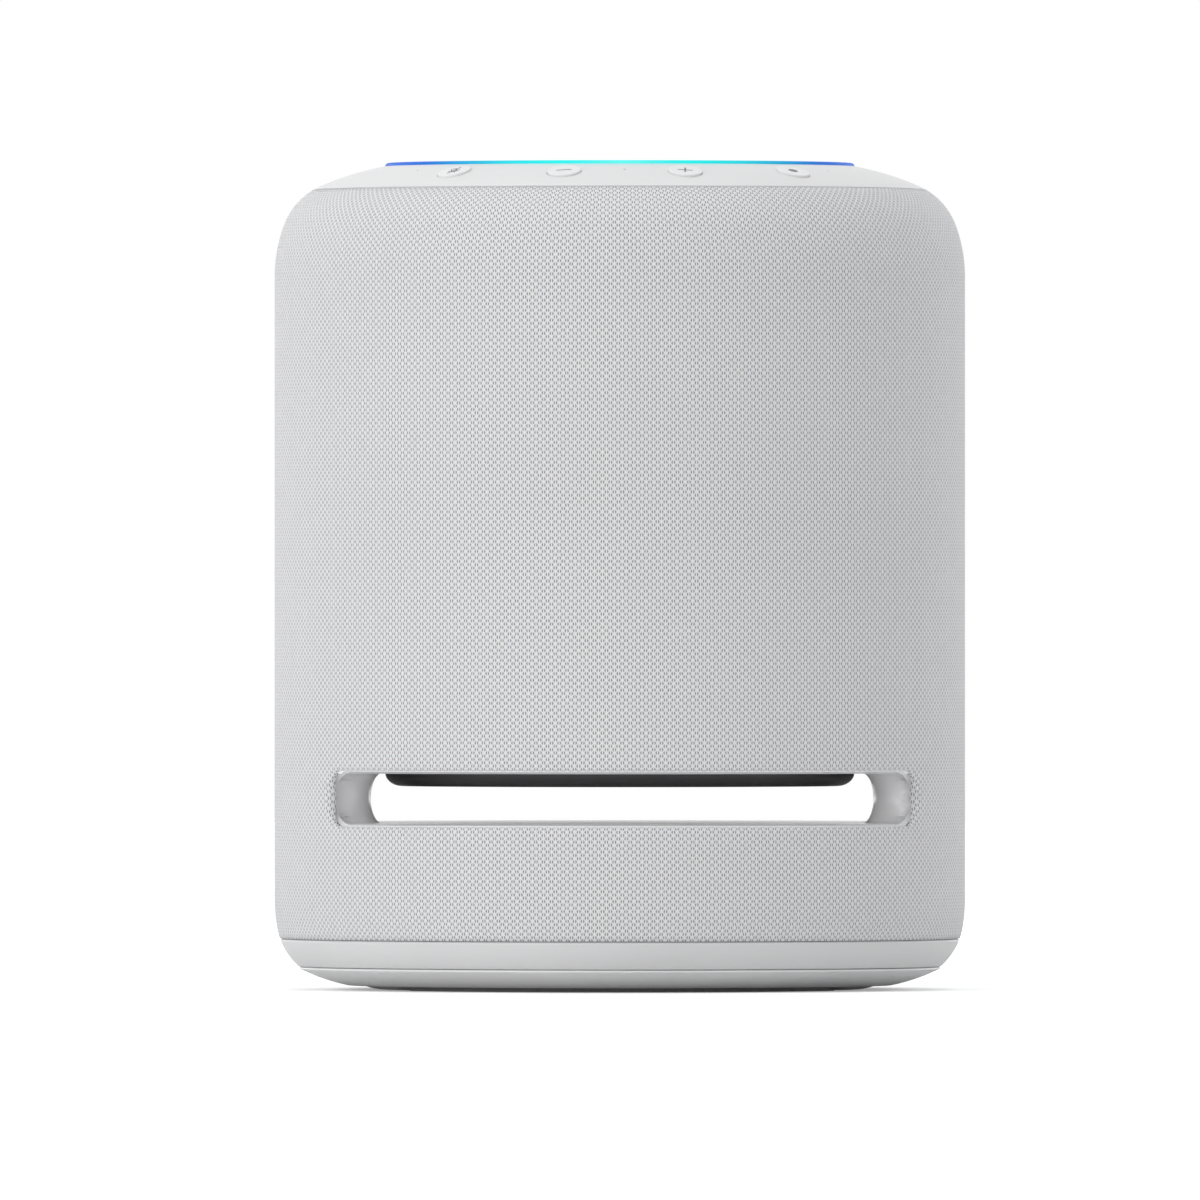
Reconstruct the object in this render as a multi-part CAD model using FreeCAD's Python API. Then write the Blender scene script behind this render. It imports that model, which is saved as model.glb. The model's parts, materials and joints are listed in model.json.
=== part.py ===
import FreeCAD, Part
import math
import os
from collections import namedtuple

# Smart speaker: a cloth-covered cylinder with a slot right through it near the foot, a woofer
# that fires down into the slot, two side drivers, a tweeter and a driver under the top grille.
# Millimetres. +Z is up, the front faces -Y, and the origin is on the floor, under the axis.

# ---- driving sizes of the case ----
body_diameter = 172.1
body_height = 206.0            # top of the light ring
shoulder_drop = 28.19          # from the top down to where the straight side ends
heel_height = 22.08            # where the straight side starts
upper_arcs = ((36.39, 20.64), (17.09, 66.37), (72.73, 82.0))   # radius, angle of the normal at its end
lower_arcs = ((37.77, 10.58), (16.305, 52.67))
cap_seam_angle = 59.4          # normal's angle where the cloth meets the top cap
base_seam_angle = -19.08       # and where it meets the base ring
ring_foot_angle = -49.4        # lower edge of the base ring
seam_gap = 0.3
part_gap = 0.1                 # between pieces of the case that lie along each other

# ---- cloth, frames and top ----
fabric_thickness = 0.9
frame_wall = 2.2
cap_wall = 2.4
cap_rib_wall = 2.0
cap_skirt_margin = 11.65       # skirt's outer face, inside the case's radius
ring_margin = 27.55            # light ring's outer face, inside the case's radius
ring_width = 1.6
ring_crown = 0.75              # height of its rounded top edge
board_drop = 11.0              # top face of the control board, below the top
board_thickness = 1.6
board_margin = 14.55
board_hole_radius = 47.0
led_count = 24
led_size = 1.4
led_height = 0.8
grille_recess = 5.1            # cloth disc, below the top
grille_thickness = 1.4
grille_cloth = 0.5
grille_hole_radius = 2.5
grille_hole_pitch = 9.5

# ---- controls ----
button_margin = 18.85          # circle of the buttons, inside the case's radius
button_radius = 4.2
button_rise = 0.5
button_travel = 0.5
button_clearance = 0.1
button_flange_radius = 5.2
button_flange = 0.8
flange_clearance = 0.2
plunger_radius = 1.5
switch_size = 6.0
switch_height = 1.6
press_clearance = 0.55         # plunger's tip to the switch at rest
mic_count = 7
mic_margin = 20.95
mic_hole_radius = 0.4
mic_size = 3.0
mic_height = 1.0
mic_boss_radius = 1.8
button_step = 360.0 / 14       # the buttons sit half way between the microphones

# ---- slot ----
slot_floor = 41.7
slot_height = 12.4
slot_end_bulge = 2.9           # depth of the rounded ends
lip_flare = 0.7
lip_depth = 4.0
mouth_margin = 14.65           # half width of the mouth, inside the case's radius
cloth_roll = 3.0               # cloth opening, wider than the mouth on each side
front_throat_inset = 9.1       # throat, narrower than the mouth, on each side
rear_throat_inset = 6.6
flare_length = 9.0
deck_thickness = 2.0
baffle_thickness = 3.0
duct_width = 5.0
duct_length = 8.0
duct_wall = 2.5
duct_y = 26.0

# ---- woofer cover ----
cover_margin = 27.55
cover_drop = 3.2
cover_wall = 1.6
cover_corner = 4.2
cover_slots = 24
cover_slot_width = 3.0
cover_slot_start = 14.0
cover_slot_end_margin = 10.0

# ---- base ----
base_ring_wall = 3.0
ring_seat_inset = 1.0          # seat's outer face, inside the ring's lower edge
ring_seat_width = 2.5
plate_edge_inset = 0.7         # plate's rim, inside the ring's lower edge
plate_edge_drop = 0.1
plate_curve_radius = 49.0
plate_curve_margin = 18.25
plate_flat_z = 1.1
plate_recess_margin = 22.05
plate_recess_z = 1.6
plate_thickness = 3.0
foot_margin = 26.35
foot_width = 9.7
foot_half_angle = 62.2
lip_clearance = 0.3
side_lip_z = 0.15
side_lip_width = 4.0
side_lip_curve = 12.0
post_x = 43.0
post_y = 14.0
post_radius = 4.0

# ---- inner box ----
box_margin = 6.05
box_wall = 3.0
box_top_drop = 18.0            # top face of the inner box, below the top
box_post_margin = 22.0
box_post_radius = 3.0
side_driver_drop = 38.0        # axis of the side drivers and tweeter, below the box's top
pad_radius = 31.0
tweeter_pad_radius = 26.0
pad_depth = 8.0                # how far the flat pads reach in from their seats
mid_seat_margin = 13.05
tweeter_seat_margin = 12.05
gasket_thickness = 0.8
window_height = 3.0
window_pitch = 6.0
window_rows = 7
side_window_width = 46.0
front_window_width = 34.0

# ---- screws ----
screw_radius = 1.2
screw_head_radius = 1.9
screw_head = 1.2
screw_clearance = 0.3
pilot_clearance = 0.1
screw_bite = 2.4
case_screw_head_radius = 3.0
case_screw_head = 1.8
case_screw_bite = 10.0

# ---- rear ports and boards ----
port_width = 60.0
port_height = 21.0
port_corner = 4.0
port_z = 26.0
port_depth = 10.0
port_wall = 2.0
port_gap = 0.3
power_board_z = 18.4
main_board_z = 10.0
base_board_half_width = 38.0
base_board_margin = 10.0
standoff_radius = 3.0
main_standoff_rows = (-22.0, -44.0)
power_standoff_rows = (4.0, 44.0)
inlet_x = -14.0
inlet_width = 20.0
inlet_height = 12.0
inlet_length = 22.0
inlet_rise = 0.5
inlet_lobe_radius = 3.9
inlet_lobe_offset = 3.5
inlet_waist = 6.0
inlet_depth = 12.0
pin_radius = 1.2
pin_pitch = 8.6
pin_length = 10.0
jack_x = 10.0
jack_radius = 1.8
jack_depth = 14.0
jack_nose_radius = 4.0
jack_width = 12.0
jack_height = 11.0
service_x = 22.0
service_width = 8.0
service_height = 3.0
service_length = 6.0
service_wall = 0.4

# ---- wiring ----
trunk_radius = 1.5
lead_radius = 0.9
grommet_radius = 2.4
wire_bend = 6.0
wire_end_gap = 0.8             # between a lead's end and the motor it serves

# ---- sizes that follow from the ones above ----
body_radius = body_diameter / 2
shoulder_z = body_height - shoulder_drop
frame_inset = fabric_thickness + part_gap
cap_edge_angle = cap_seam_angle + math.degrees(seam_gap / upper_arcs[1][0])
ring_edge_angle = base_seam_angle - math.degrees(seam_gap / lower_arcs[1][0])
ring_radius = body_radius - ring_margin
board_top = body_height - board_drop
board_bottom = board_top - board_thickness
ring_inner_radius = ring_radius - ring_width
grille_radius = ring_inner_radius - part_gap
grille_top = body_height - grille_recess - grille_cloth
slot_ceiling = slot_floor + slot_height
mouth_half = body_radius - mouth_margin
cloth_mouth_half = mouth_half + cloth_roll
mouth_y = math.sqrt(body_radius ** 2 - cloth_mouth_half ** 2)
throat_y = mouth_y - flare_length
deck_bottom = slot_floor - deck_thickness
baffle_top = slot_ceiling + baffle_thickness
box_radius = body_radius - box_margin
box_inner_radius = box_radius - box_wall
box_top = body_height - box_top_drop
side_driver_z = box_top - side_driver_drop
plate_top_z = plate_recess_z + plate_thickness
port_floor_y = body_radius - port_depth
power_board_top = power_board_z + board_thickness
base_board_radius = body_radius - base_board_margin
duct_x = -(mouth_half - rear_throat_inset + duct_wall + duct_width / 2)

DriverSize = namedtuple("DriverSize", [
    "flange_radius", "flange", "surround_radius", "cone_radius", "coil_radius", "cone_depth",
    "basket_wall", "shoulder", "motor_depth", "motor_radius", "front_plate", "magnet",
    "back_plate", "gap", "rubber", "roll", "window_count", "window_width", "screw_count",
    "screw_circle"])

woofer_flange_radius = box_inner_radius - 10.5
woofer = DriverSize(
    flange_radius=woofer_flange_radius, flange=3.0, surround_radius=woofer_flange_radius - 9.5,
    cone_radius=woofer_flange_radius - 19.5, coil_radius=19.0, cone_depth=13.0, basket_wall=2.0,
    shoulder=9.0, motor_depth=24.0, motor_radius=36.0, front_plate=5.0, magnet=14.0,
    back_plate=5.0, gap=0.8, rubber=0.8, roll=1, window_count=6, window_width=22.0, screw_count=6,
    screw_circle=woofer_flange_radius - 3.5)
mid = DriverSize(
    flange_radius=29.0, flange=2.5, surround_radius=23.0, cone_radius=19.0, coil_radius=10.0,
    cone_depth=6.0, basket_wall=1.0, shoulder=3.5, motor_depth=15.0, motor_radius=18.0,
    front_plate=3.0, magnet=8.0, back_plate=3.0, gap=0.6, rubber=0.5, roll=-1, window_count=4,
    window_width=14.0, screw_count=4, screw_circle=26.9)

surround_lip = 1.4
spider_waves = 4
spider_wave = 0.8
spider_cloth = 0.5
spider_clearance = 2.2
tweeter_face_radius = 24.0
tweeter_face = 3.0
tweeter_throat_radius = 13.6
tweeter_dome_radius = 12.5
tweeter_dome_rise = 4.0
tweeter_motor_radius = 16.0
tweeter_hole_radius = 17.0
tweeter_screw_circle = 21.0
tweeter_screw_count = 3
tweeter_wall = 0.5
dome_clearance = 0.3
cone_paper = 0.7
mid_hole_radius = mid.surround_radius + mid.basket_wall + 0.5
woofer_hole_radius = woofer.surround_radius

ORIGIN = FreeCAD.Vector(0, 0, 0)
X_AXIS = FreeCAD.Vector(1, 0, 0)
Y_AXIS = FreeCAD.Vector(0, 1, 0)
Z_AXIS = FreeCAD.Vector(0, 0, 1)


# ---- plain shapes ----

def disc(radius, low, high, x=0.0, y=0.0):
    """Upright cylinder from height low to high."""
    return Part.makeCylinder(radius, high - low, FreeCAD.Vector(x, y, low), Z_AXIS)


def tube(inner, outer, low, high, x=0.0, y=0.0):
    """Upright ring of rectangular section."""
    return disc(outer, low, high, x, y).cut(disc(inner, low - 1, high + 1, x, y))


def block(x0, x1, y0, y1, z0, z1):
    """Box between two corners."""
    return Part.makeBox(x1 - x0, y1 - y0, z1 - z0, FreeCAD.Vector(x0, y0, z0))


def rod_y(radius, x, z, y0, y1):
    """Cylinder along Y."""
    return Part.makeCylinder(radius, y1 - y0, FreeCAD.Vector(x, y0, z), Y_AXIS)


def rod_x(radius, y, z, x0, x1):
    """Cylinder along X."""
    return Part.makeCylinder(radius, x1 - x0, FreeCAD.Vector(x0, y, z), X_AXIS)


def rounded_slab_y(width, height, corner, x, z, y0, y1):
    """Block along Y with rounded upright corners, centred on x and z."""
    slab = block(x - width / 2, x + width / 2, y0, y1, z - height / 2, z + height / 2)
    long_edges = [edge for edge in slab.Edges if abs(edge.tangentAt(edge.FirstParameter).y) > 0.9]
    return slab.makeFillet(corner, long_edges)


def edge_line(start, end):
    """Straight edge between two (radius, height) points."""
    return Part.LineSegment(FreeCAD.Vector(start[0], 0, start[1]),
                            FreeCAD.Vector(end[0], 0, end[1])).toShape()


def edge_arc(start, middle, end):
    """Round edge through three (radius, height) points."""
    return Part.Arc(FreeCAD.Vector(start[0], 0, start[1]), FreeCAD.Vector(middle[0], 0, middle[1]),
                    FreeCAD.Vector(end[0], 0, end[1])).toShape()


def spin(edges, angle=360.0):
    """Solid swept by a closed outline of edges about the Z axis."""
    solid = Part.Face(Part.Wire(edges)).revolve(ORIGIN, Z_AXIS, angle)
    return solid if solid.Volume > 0 else solid.reversed()


def spin_polygon(points, angle=360.0):
    """Solid swept by a closed polygon of (radius, height) points about the Z axis."""
    closed = points + points[:1]
    return spin([edge_line(start, end) for start, end in zip(closed, closed[1:])], angle)


def bulged_arc(start, end, radius, side):
    """Arc of a given radius between two points, bulging to the left (1) or right (-1) of start to end."""
    across, up = end[0] - start[0], end[1] - start[1]
    length = math.hypot(across, up)
    sag = radius - math.sqrt(radius ** 2 - length ** 2 / 4)
    middle = ((start[0] + end[0]) / 2 - side * sag * up / length,
              (start[1] + end[1]) / 2 + side * sag * across / length)
    return edge_arc(start, middle, end)


def around(count, first=0.0):
    """Evenly spaced angles in degrees."""
    return [first + 360.0 * step / count for step in range(count)]


def turned(shape, angle):
    """Copy of a shape turned about the Z axis."""
    copy = shape.copy()
    copy.rotate(ORIGIN, Z_AXIS, angle)
    return copy


def ringed(shape, count, first=0.0):
    """Copies of a shape spread evenly about the Z axis."""
    return [turned(shape, angle) for angle in around(count, first)]


def save(name, shapes):
    """Writes one node: a single solid, or a group of separate solids."""
    solids = [solid for shape in shapes for solid in shape.Solids]
    whole = solids[0] if len(solids) == 1 else Part.makeCompound(solids)
    whole.exportStep("parts/" + name + ".step")


# ---- outline of the case ----

def arc_chain(arcs, start_z, turn):
    """Centres of a chain of tangent arcs that leaves the straight side upwards (1) or downwards (-1)."""
    chain = []
    centre_r = body_radius - arcs[0][0]
    centre_z = start_z
    for index, (radius, end_angle) in enumerate(arcs):
        chain.append((centre_r, centre_z, radius, turn * end_angle))
        if index + 1 < len(arcs):
            shift = radius - arcs[index + 1][0]
            centre_r += shift * math.cos(math.radians(end_angle))
            centre_z += turn * shift * math.sin(math.radians(end_angle))
    return chain


upper_chain = arc_chain(upper_arcs, shoulder_z, 1)
lower_chain = arc_chain(lower_arcs, heel_height, -1)


def outline_point(angle, inset, upper):
    """Point of the outline, moved inwards by inset, where its normal rises by angle degrees."""
    chain = upper_chain if upper else lower_chain
    centre_r, centre_z, radius = next(
        arc[:3] for arc in chain if abs(angle) <= abs(arc[3]) + 1e-9)
    turn = math.radians(angle)
    return (centre_r + (radius - inset) * math.cos(turn), centre_z + (radius - inset) * math.sin(turn))


def outline_edges(inset, low, high):
    """Edges of the outline, moved inwards by inset, between two angles of its normal."""
    joints = [arc[3] for arc in lower_chain + upper_chain]
    breaks = sorted([low, high] + [angle for angle in joints + [0.0] if low < angle < high])
    edges = []
    for start, end in zip(breaks, breaks[1:]):
        upper = start + end > 0
        if start == 0.0 and low < 0.0:
            edges.append(edge_line(outline_point(0.0, inset, False), outline_point(0.0, inset, True)))
        edges.append(edge_arc(outline_point(start, inset, upper),
                              outline_point((start + end) / 2, inset, upper),
                              outline_point(end, inset, upper)))
    return edges


def skin(outer_inset, inner_inset, low, high):
    """Shell of revolution between two insets of the outline and two angles of its normal."""
    outer = outline_edges(outer_inset, low, high)
    inner = outline_edges(inner_inset, low, high)
    top = edge_line(outline_point(high, outer_inset, high > 0), outline_point(high, inner_inset, high > 0))
    foot = edge_line(outline_point(low, outer_inset, low > 0), outline_point(low, inner_inset, low > 0))
    return spin(Part.__sortEdges__(outer + [top] + inner + [foot]))


def crown_at(radius):
    """Height of the top cap at a radius, and the angle of its normal there."""
    centre_r, centre_z, arc_radius = upper_chain[2][:3]
    angle = math.degrees(math.acos((radius - centre_r) / arc_radius))
    return centre_z + arc_radius * math.sin(math.radians(angle)), angle


def on_crown(shape, radius, azimuth):
    """Puts a shape built about +Z on the top cap, along its normal, at an azimuth from the front."""
    height, angle = crown_at(radius)
    copy = shape.copy()
    copy.rotate(ORIGIN, X_AXIS, 90.0 - angle)
    copy.translate(FreeCAD.Vector(0, -radius, height))
    return turned(copy, azimuth)


# ---- slot ----

def slot_outline(half_width, half_height, y):
    """Closed outline of the slot at depth y: flat floor and ceiling, half-ellipse ends."""
    middle = slot_floor + slot_height / 2
    flat = half_width - slot_end_bulge
    edges = []
    for side in (1, -1):
        centre = FreeCAD.Vector(side * flat, y, middle)
        top = FreeCAD.Vector(side * flat, y, middle + half_height)
        tip = FreeCAD.Vector(side * half_width, y, middle)
        ellipse = Part.Ellipse(top, tip, centre)
        edges.append(Part.ArcOfEllipse(ellipse, 0, math.pi).toShape())
    for height in (middle + half_height, middle - half_height):
        edges.append(Part.LineSegment(FreeCAD.Vector(-flat, y, height),
                                      FreeCAD.Vector(flat, y, height)).toShape())
    return Part.Wire(Part.__sortEdges__(edges))


def mouth_prism(half_width, half_height):
    """Straight cutter of the slot's outline, right through the case."""
    face = Part.Face(slot_outline(half_width, half_height, -body_radius - 2))
    return face.extrude(FreeCAD.Vector(0, 2 * body_radius + 4, 0))


def slot_space():
    """The open slot: straight-sided throat that widens to the rear, flared mouths and lips."""
    reach = body_radius + 2
    stations = [(-reach, mouth_half), (-mouth_y, mouth_half), (-throat_y, mouth_half - front_throat_inset),
                (throat_y, mouth_half - rear_throat_inset), (mouth_y, mouth_half), (reach, mouth_half)]
    half_height = slot_height / 2
    outlines = [slot_outline(half_width, half_height, y) for y, half_width in stations]
    passage = Part.makeLoft(outlines, True, True)
    inner, outer = body_radius - lip_depth, body_radius + 3
    lips = spin_polygon([(inner, slot_floor), (body_radius, slot_floor - lip_flare),
                         (outer, slot_floor - lip_flare), (outer, slot_ceiling + lip_flare),
                         (body_radius, slot_ceiling + lip_flare), (inner, slot_ceiling)])
    return passage.fuse(lips.common(mouth_prism(mouth_half, half_height + lip_flare)))


def slot_liner(space):
    """Deck and two columns of the slot, with a wire duct, a matching pocket and four screw posts."""
    liner = disc(body_radius - frame_inset, deck_bottom, slot_ceiling).cut(space)
    pockets = [block(side * duct_x - duct_width / 2, side * duct_x + duct_width / 2,
                     duct_y - duct_length / 2, duct_y + duct_length / 2, deck_bottom - 1, slot_ceiling + 1)
               for side in (1, -1)]
    posts = []
    holes = []
    for x in (-post_x, post_x):
        for y in (-post_y, post_y):
            posts.append(disc(post_radius, plate_top_z, deck_bottom, x, y))
            holes.append(disc(screw_radius + pilot_clearance, plate_top_z - 1,
                              plate_top_z + case_screw_bite + 1, x, y))
    return liner.cut(pockets).fuse(posts).cut(holes)


def woofer_baffle(space):
    """Ceiling of the slot and floor of the inner box, open under the woofer."""
    plate = disc(body_radius - frame_inset, slot_ceiling, baffle_top).cut(space)
    cuts = [disc(woofer_hole_radius, slot_ceiling - 1, baffle_top + 1),
            disc(grommet_radius, slot_ceiling - 1, baffle_top + 1, duct_x, duct_y)]
    pilot = disc(screw_radius + pilot_clearance, baffle_top - screw_bite - 0.2, baffle_top + 1,
                 woofer.screw_circle, 0)
    return plate.cut(cuts + ringed(pilot, woofer.screw_count))


def woofer_cover():
    """Shallow dish with radial slots that hangs from the ceiling of the slot."""
    rim = body_radius - cover_margin
    top = slot_ceiling
    bottom = slot_ceiling - cover_drop
    flat = rim - cover_corner
    outer = [(rim, top), (flat + 0.78 * cover_corner, bottom + 0.25 * cover_drop), (flat, bottom)]
    inner = [(rim - cover_wall, top),
             (flat + 0.5 * cover_corner, bottom + cover_wall + 0.1 * cover_drop),
             (flat, bottom + cover_wall)]
    dish = spin([edge_arc(*outer), edge_line((flat, bottom), (0, bottom)),
                 edge_line((0, bottom), (0, bottom + cover_wall)),
                 edge_line((0, bottom + cover_wall), (flat, bottom + cover_wall)),
                 edge_arc(*reversed(inner)), edge_line((rim - cover_wall, top), (rim, top))])
    cut = block(cover_slot_start, flat - cover_slot_end_margin, -cover_slot_width / 2,
                cover_slot_width / 2, bottom - 1, bottom + cover_wall + 1)
    return dish.cut(ringed(cut, cover_slots))


# ---- cloth and frames ----

def port_opening(grow):
    """Cutter of the rear port opening, larger by grow all round."""
    return rounded_slab_y(port_width + 2 * grow, port_height + 2 * grow, port_corner + grow,
                          0.0, port_z, port_floor_y - port_wall, body_radius + 5)


def fabric_sleeve():
    """Knitted cloth over both frames, open at the slot and at the rear ports."""
    cloth = skin(0.0, fabric_thickness, base_seam_angle, cap_seam_angle)
    return cloth.cut([mouth_prism(cloth_mouth_half, slot_height / 2 + lip_flare), port_opening(0.0)])


def frame_shell():
    """Shell under the cloth, from the base ring to the top cap."""
    return skin(frame_inset, frame_inset + frame_wall, base_seam_angle, cap_seam_angle)


def upper_grille_frame():
    """Frame above the slot with rows of windows before the side drivers and the tweeter."""
    shell = frame_shell().cut(disc(body_radius + 5, 0, baffle_top))
    cuts = []
    for row in range(window_rows):
        z = side_driver_z + (row - (window_rows - 1) / 2) * window_pitch
        low, high = z - window_height / 2, z + window_height / 2
        half_side, half_front = side_window_width / 2, front_window_width / 2
        cuts.append(block(-body_radius - 5, 5 - box_radius, -half_side, half_side, low, high))
        cuts.append(block(box_radius - 5, body_radius + 5, -half_side, half_side, low, high))
        cuts.append(block(-half_front, half_front, -body_radius - 5, 5 - box_radius, low, high))
    return shell.cut(cuts)


def lower_grille_frame():
    """Frame below the slot, open at the rear ports."""
    shell = frame_shell().cut(disc(body_radius + 5, deck_bottom, body_height))
    return shell.cut(port_opening(0.0))


# ---- top ----

def top_cap():
    """Shallow ring-shaped cap with holes for the buttons and microphones."""
    hole = ring_radius + part_gap
    shell = skin(0.0, cap_wall, cap_edge_angle, upper_arcs[2][1]).cut(disc(hole, 0, body_height + 1))
    under_hole = crown_at(hole + cap_rib_wall)[0] - cap_wall / 2
    inner_wall = tube(hole, hole + cap_rib_wall, board_top, under_hole)
    skirt_radius = body_radius - cap_skirt_margin
    under_skirt = outline_point(cap_edge_angle, cap_wall, True)[1]
    skirt = tube(skirt_radius - cap_rib_wall, skirt_radius, board_top + part_gap, under_skirt + 1)
    mic_radius = body_radius - mic_margin
    boss_top = crown_at(mic_radius)[0] - cap_wall / 2
    boss = disc(mic_boss_radius, board_top + mic_height + part_gap, boss_top, 0, -mic_radius)
    mic_hole = disc(mic_hole_radius, board_top, body_height, 0, -mic_radius)
    body = shell.fuse([inner_wall, skirt] + ringed(boss, mic_count))
    button_hole = disc(button_radius + button_clearance, -2 * cap_wall, cap_wall)
    holes = [on_crown(button_hole, body_radius - button_margin, azimuth) for azimuth in button_azimuths()]
    return body.cut(holes + ringed(mic_hole, mic_count))


def light_ring():
    """Clear ring that carries the light of the lamps up to its rounded top edge."""
    inner, outer = ring_inner_radius, ring_radius
    foot = board_top + led_height + part_gap
    shoulder = body_height - ring_crown
    return spin([edge_line((inner, foot), (outer, foot)), edge_line((outer, foot), (outer, shoulder)),
                 edge_arc((outer, shoulder), ((inner + outer) / 2, body_height), (inner, shoulder)),
                 edge_line((inner, shoulder), (inner, foot))])


def top_grille():
    """Perforated disc inside the light ring, on a skirt that stands on the control board."""
    low = grille_top - grille_thickness
    plate = disc(grille_radius, low, grille_top)
    skirt = tube(grille_radius - cap_rib_wall, grille_radius, board_top, low)
    holes = []
    for ring in range(1, int((grille_radius - cap_rib_wall) / grille_hole_pitch)):
        hole = disc(grille_hole_radius, low - 1, grille_top + 1, ring * grille_hole_pitch, 0)
        holes += ringed(hole, 6 * ring)
    return plate.fuse(skirt).cut(holes)


def top_grille_cloth():
    """Cloth disc on the top grille."""
    return disc(grille_radius, grille_top, grille_top + grille_cloth)


def top_board():
    """Ring-shaped control board."""
    return tube(board_hole_radius, body_radius - board_margin, board_bottom, board_top)


def ring_leds():
    """Lamps under the light ring."""
    half = led_size / 2
    middle = ring_radius - ring_width / 2
    lamp = block(middle - half, middle + half, -half, half, board_top, board_top + led_height)
    return ringed(lamp, led_count)


def microphones():
    """Microphones under the small holes in the cap, the first one at the front."""
    half = mic_size / 2
    middle = body_radius - mic_margin
    chip = block(-half, half, -middle - half, -middle + half, board_top, board_top + mic_height)
    return ringed(chip, mic_count)


def button_azimuths():
    """Azimuths of the four buttons from the front, left to right."""
    return [-1.5 * button_step, -0.5 * button_step, 0.5 * button_step, 1.5 * button_step]


def button_cap():
    """Push button about its own axis: round head and a flange that stays under the cap."""
    flange_top = -cap_wall - flange_clearance
    head = disc(button_radius, flange_top, button_rise)
    flange = disc(button_flange_radius, flange_top - button_flange, flange_top)
    rim = [edge for edge in head.Edges if edge.BoundBox.ZMin > button_rise - 0.01
           and edge.BoundBox.XLength > button_radius]
    return head.makeFillet(button_rise / 2, rim).fuse(flange)


def button_tilt():
    """Tilt of a button's axis from upright."""
    return 90.0 - crown_at(body_radius - button_margin)[1]


def button_plunger():
    """Stem under a button, about the button's axis, that ends just above its switch."""
    start = cap_wall + flange_clearance + button_flange
    tilt = math.radians(button_tilt())
    cap_z = crown_at(body_radius - button_margin)[0]
    tip_z = board_top + switch_height + press_clearance + plunger_radius * math.sin(tilt)
    return disc(plunger_radius, -(cap_z - tip_z) / math.cos(tilt), -start)


def button_switches():
    """Switches on the control board, in line with the plungers' tips."""
    tilt = math.radians(button_tilt())
    radius = body_radius - button_margin
    drop = crown_at(radius)[0] - board_top - switch_height
    radius -= drop * math.tan(tilt)
    half = switch_size / 2
    switch = block(-half, half, -radius - half, -radius + half, board_top, board_top + switch_height)
    return [turned(switch, azimuth) for azimuth in button_azimuths()]


# ---- base ----

def base_ring():
    """Plastic ring below the cloth, with a seat that stands on the base plate."""
    shell = skin(0.0, base_ring_wall, ring_foot_angle, ring_edge_angle)
    edge_r, edge_z = outline_point(ring_foot_angle, 0.0, False)
    seat_outer = edge_r - ring_seat_inset
    seat_top = outline_point(ring_foot_angle, base_ring_wall, False)[1] + 1
    seat = tube(seat_outer - ring_seat_width, seat_outer, edge_z - plate_edge_drop, seat_top)
    return shell.fuse(seat)


def side_lip():
    """Low rib of the base plate that fills the gap between the ends of the feet."""
    outer = body_radius - plate_recess_margin
    inner = body_radius - foot_margin
    half_angle = 90.0 - foot_half_angle - math.degrees(lip_clearance / inner)
    rib = spin([bulged_arc((inner, side_lip_z), (outer, plate_flat_z), side_lip_curve, -1),
                edge_line((outer, plate_flat_z), (outer, plate_recess_z + 0.5)),
                edge_line((outer, plate_recess_z + 0.5), (inner - side_lip_width, plate_recess_z + 0.5)),
                edge_line((inner - side_lip_width, plate_recess_z + 0.5), (inner - side_lip_width, side_lip_z)),
                edge_line((inner - side_lip_width, side_lip_z), (inner, side_lip_z))], 2 * half_angle)
    return [turned(rib, -half_angle), turned(rib, 180.0 - half_angle)]


def standoff_places():
    """Board corners that stand on the base plate: x, y and height of the board above each."""
    x = base_board_half_width - standoff_radius - 1
    main = [(side * x, y, main_board_z) for side in (-1, 1) for y in main_standoff_rows]
    power = [(side * x, y, power_board_z) for side in (-1, 1) for y in power_standoff_rows]
    return main + power


def base_plate():
    """Saucer-shaped bottom with standoffs for the boards and four screw holes."""
    edge_r, edge_z = outline_point(ring_foot_angle, 0.0, False)
    rim = (edge_r - plate_edge_inset, edge_z - plate_edge_drop)
    curve_end = (body_radius - plate_curve_margin, plate_flat_z)
    recess = body_radius - plate_recess_margin
    seat_inner = edge_r - ring_seat_inset - ring_seat_width - part_gap
    plate = spin([bulged_arc(rim, curve_end, plate_curve_radius, 1),
                  edge_line(curve_end, (recess, plate_flat_z)),
                  edge_line((recess, plate_flat_z), (recess, plate_recess_z)),
                  edge_line((recess, plate_recess_z), (0, plate_recess_z)),
                  edge_line((0, plate_recess_z), (0, plate_top_z)),
                  edge_line((0, plate_top_z), (seat_inner - 1, plate_top_z)),
                  edge_line((seat_inner - 1, plate_top_z), (seat_inner, rim[1])),
                  edge_line((seat_inner, rim[1]), rim)])
    standoffs = [disc(standoff_radius, plate_top_z, height, x, y) for x, y, height in standoff_places()]
    holes = []
    for x in (-post_x, post_x):
        for y in (-post_y, post_y):
            holes.append(disc(screw_radius + screw_clearance, 0, plate_top_z + 1, x, y))
            holes.append(disc(case_screw_head_radius + screw_clearance, 0,
                              plate_recess_z + case_screw_head, x, y))
    return plate.fuse(side_lip() + standoffs).cut(holes)


def foot_pads():
    """Two rubber arcs that the speaker stands on, front and rear."""
    outer = body_radius - foot_margin
    inner = outer - foot_width
    pad = spin_polygon([(inner, 0), (outer, 0), (outer, plate_recess_z), (inner, plate_recess_z)],
                       2 * foot_half_angle)
    return [turned(pad, -90.0 - foot_half_angle), turned(pad, 90.0 - foot_half_angle)]


def case_screws():
    """Four screws that hold the base plate to the posts of the slot liner."""
    screws = []
    for x in (-post_x, post_x):
        for y in (-post_y, post_y):
            head = disc(case_screw_head_radius, plate_recess_z, plate_recess_z + case_screw_head, x, y)
            shank = disc(screw_radius, plate_recess_z, plate_top_z + case_screw_bite, x, y)
            screws.append(head.fuse(shank))
    return screws


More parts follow.
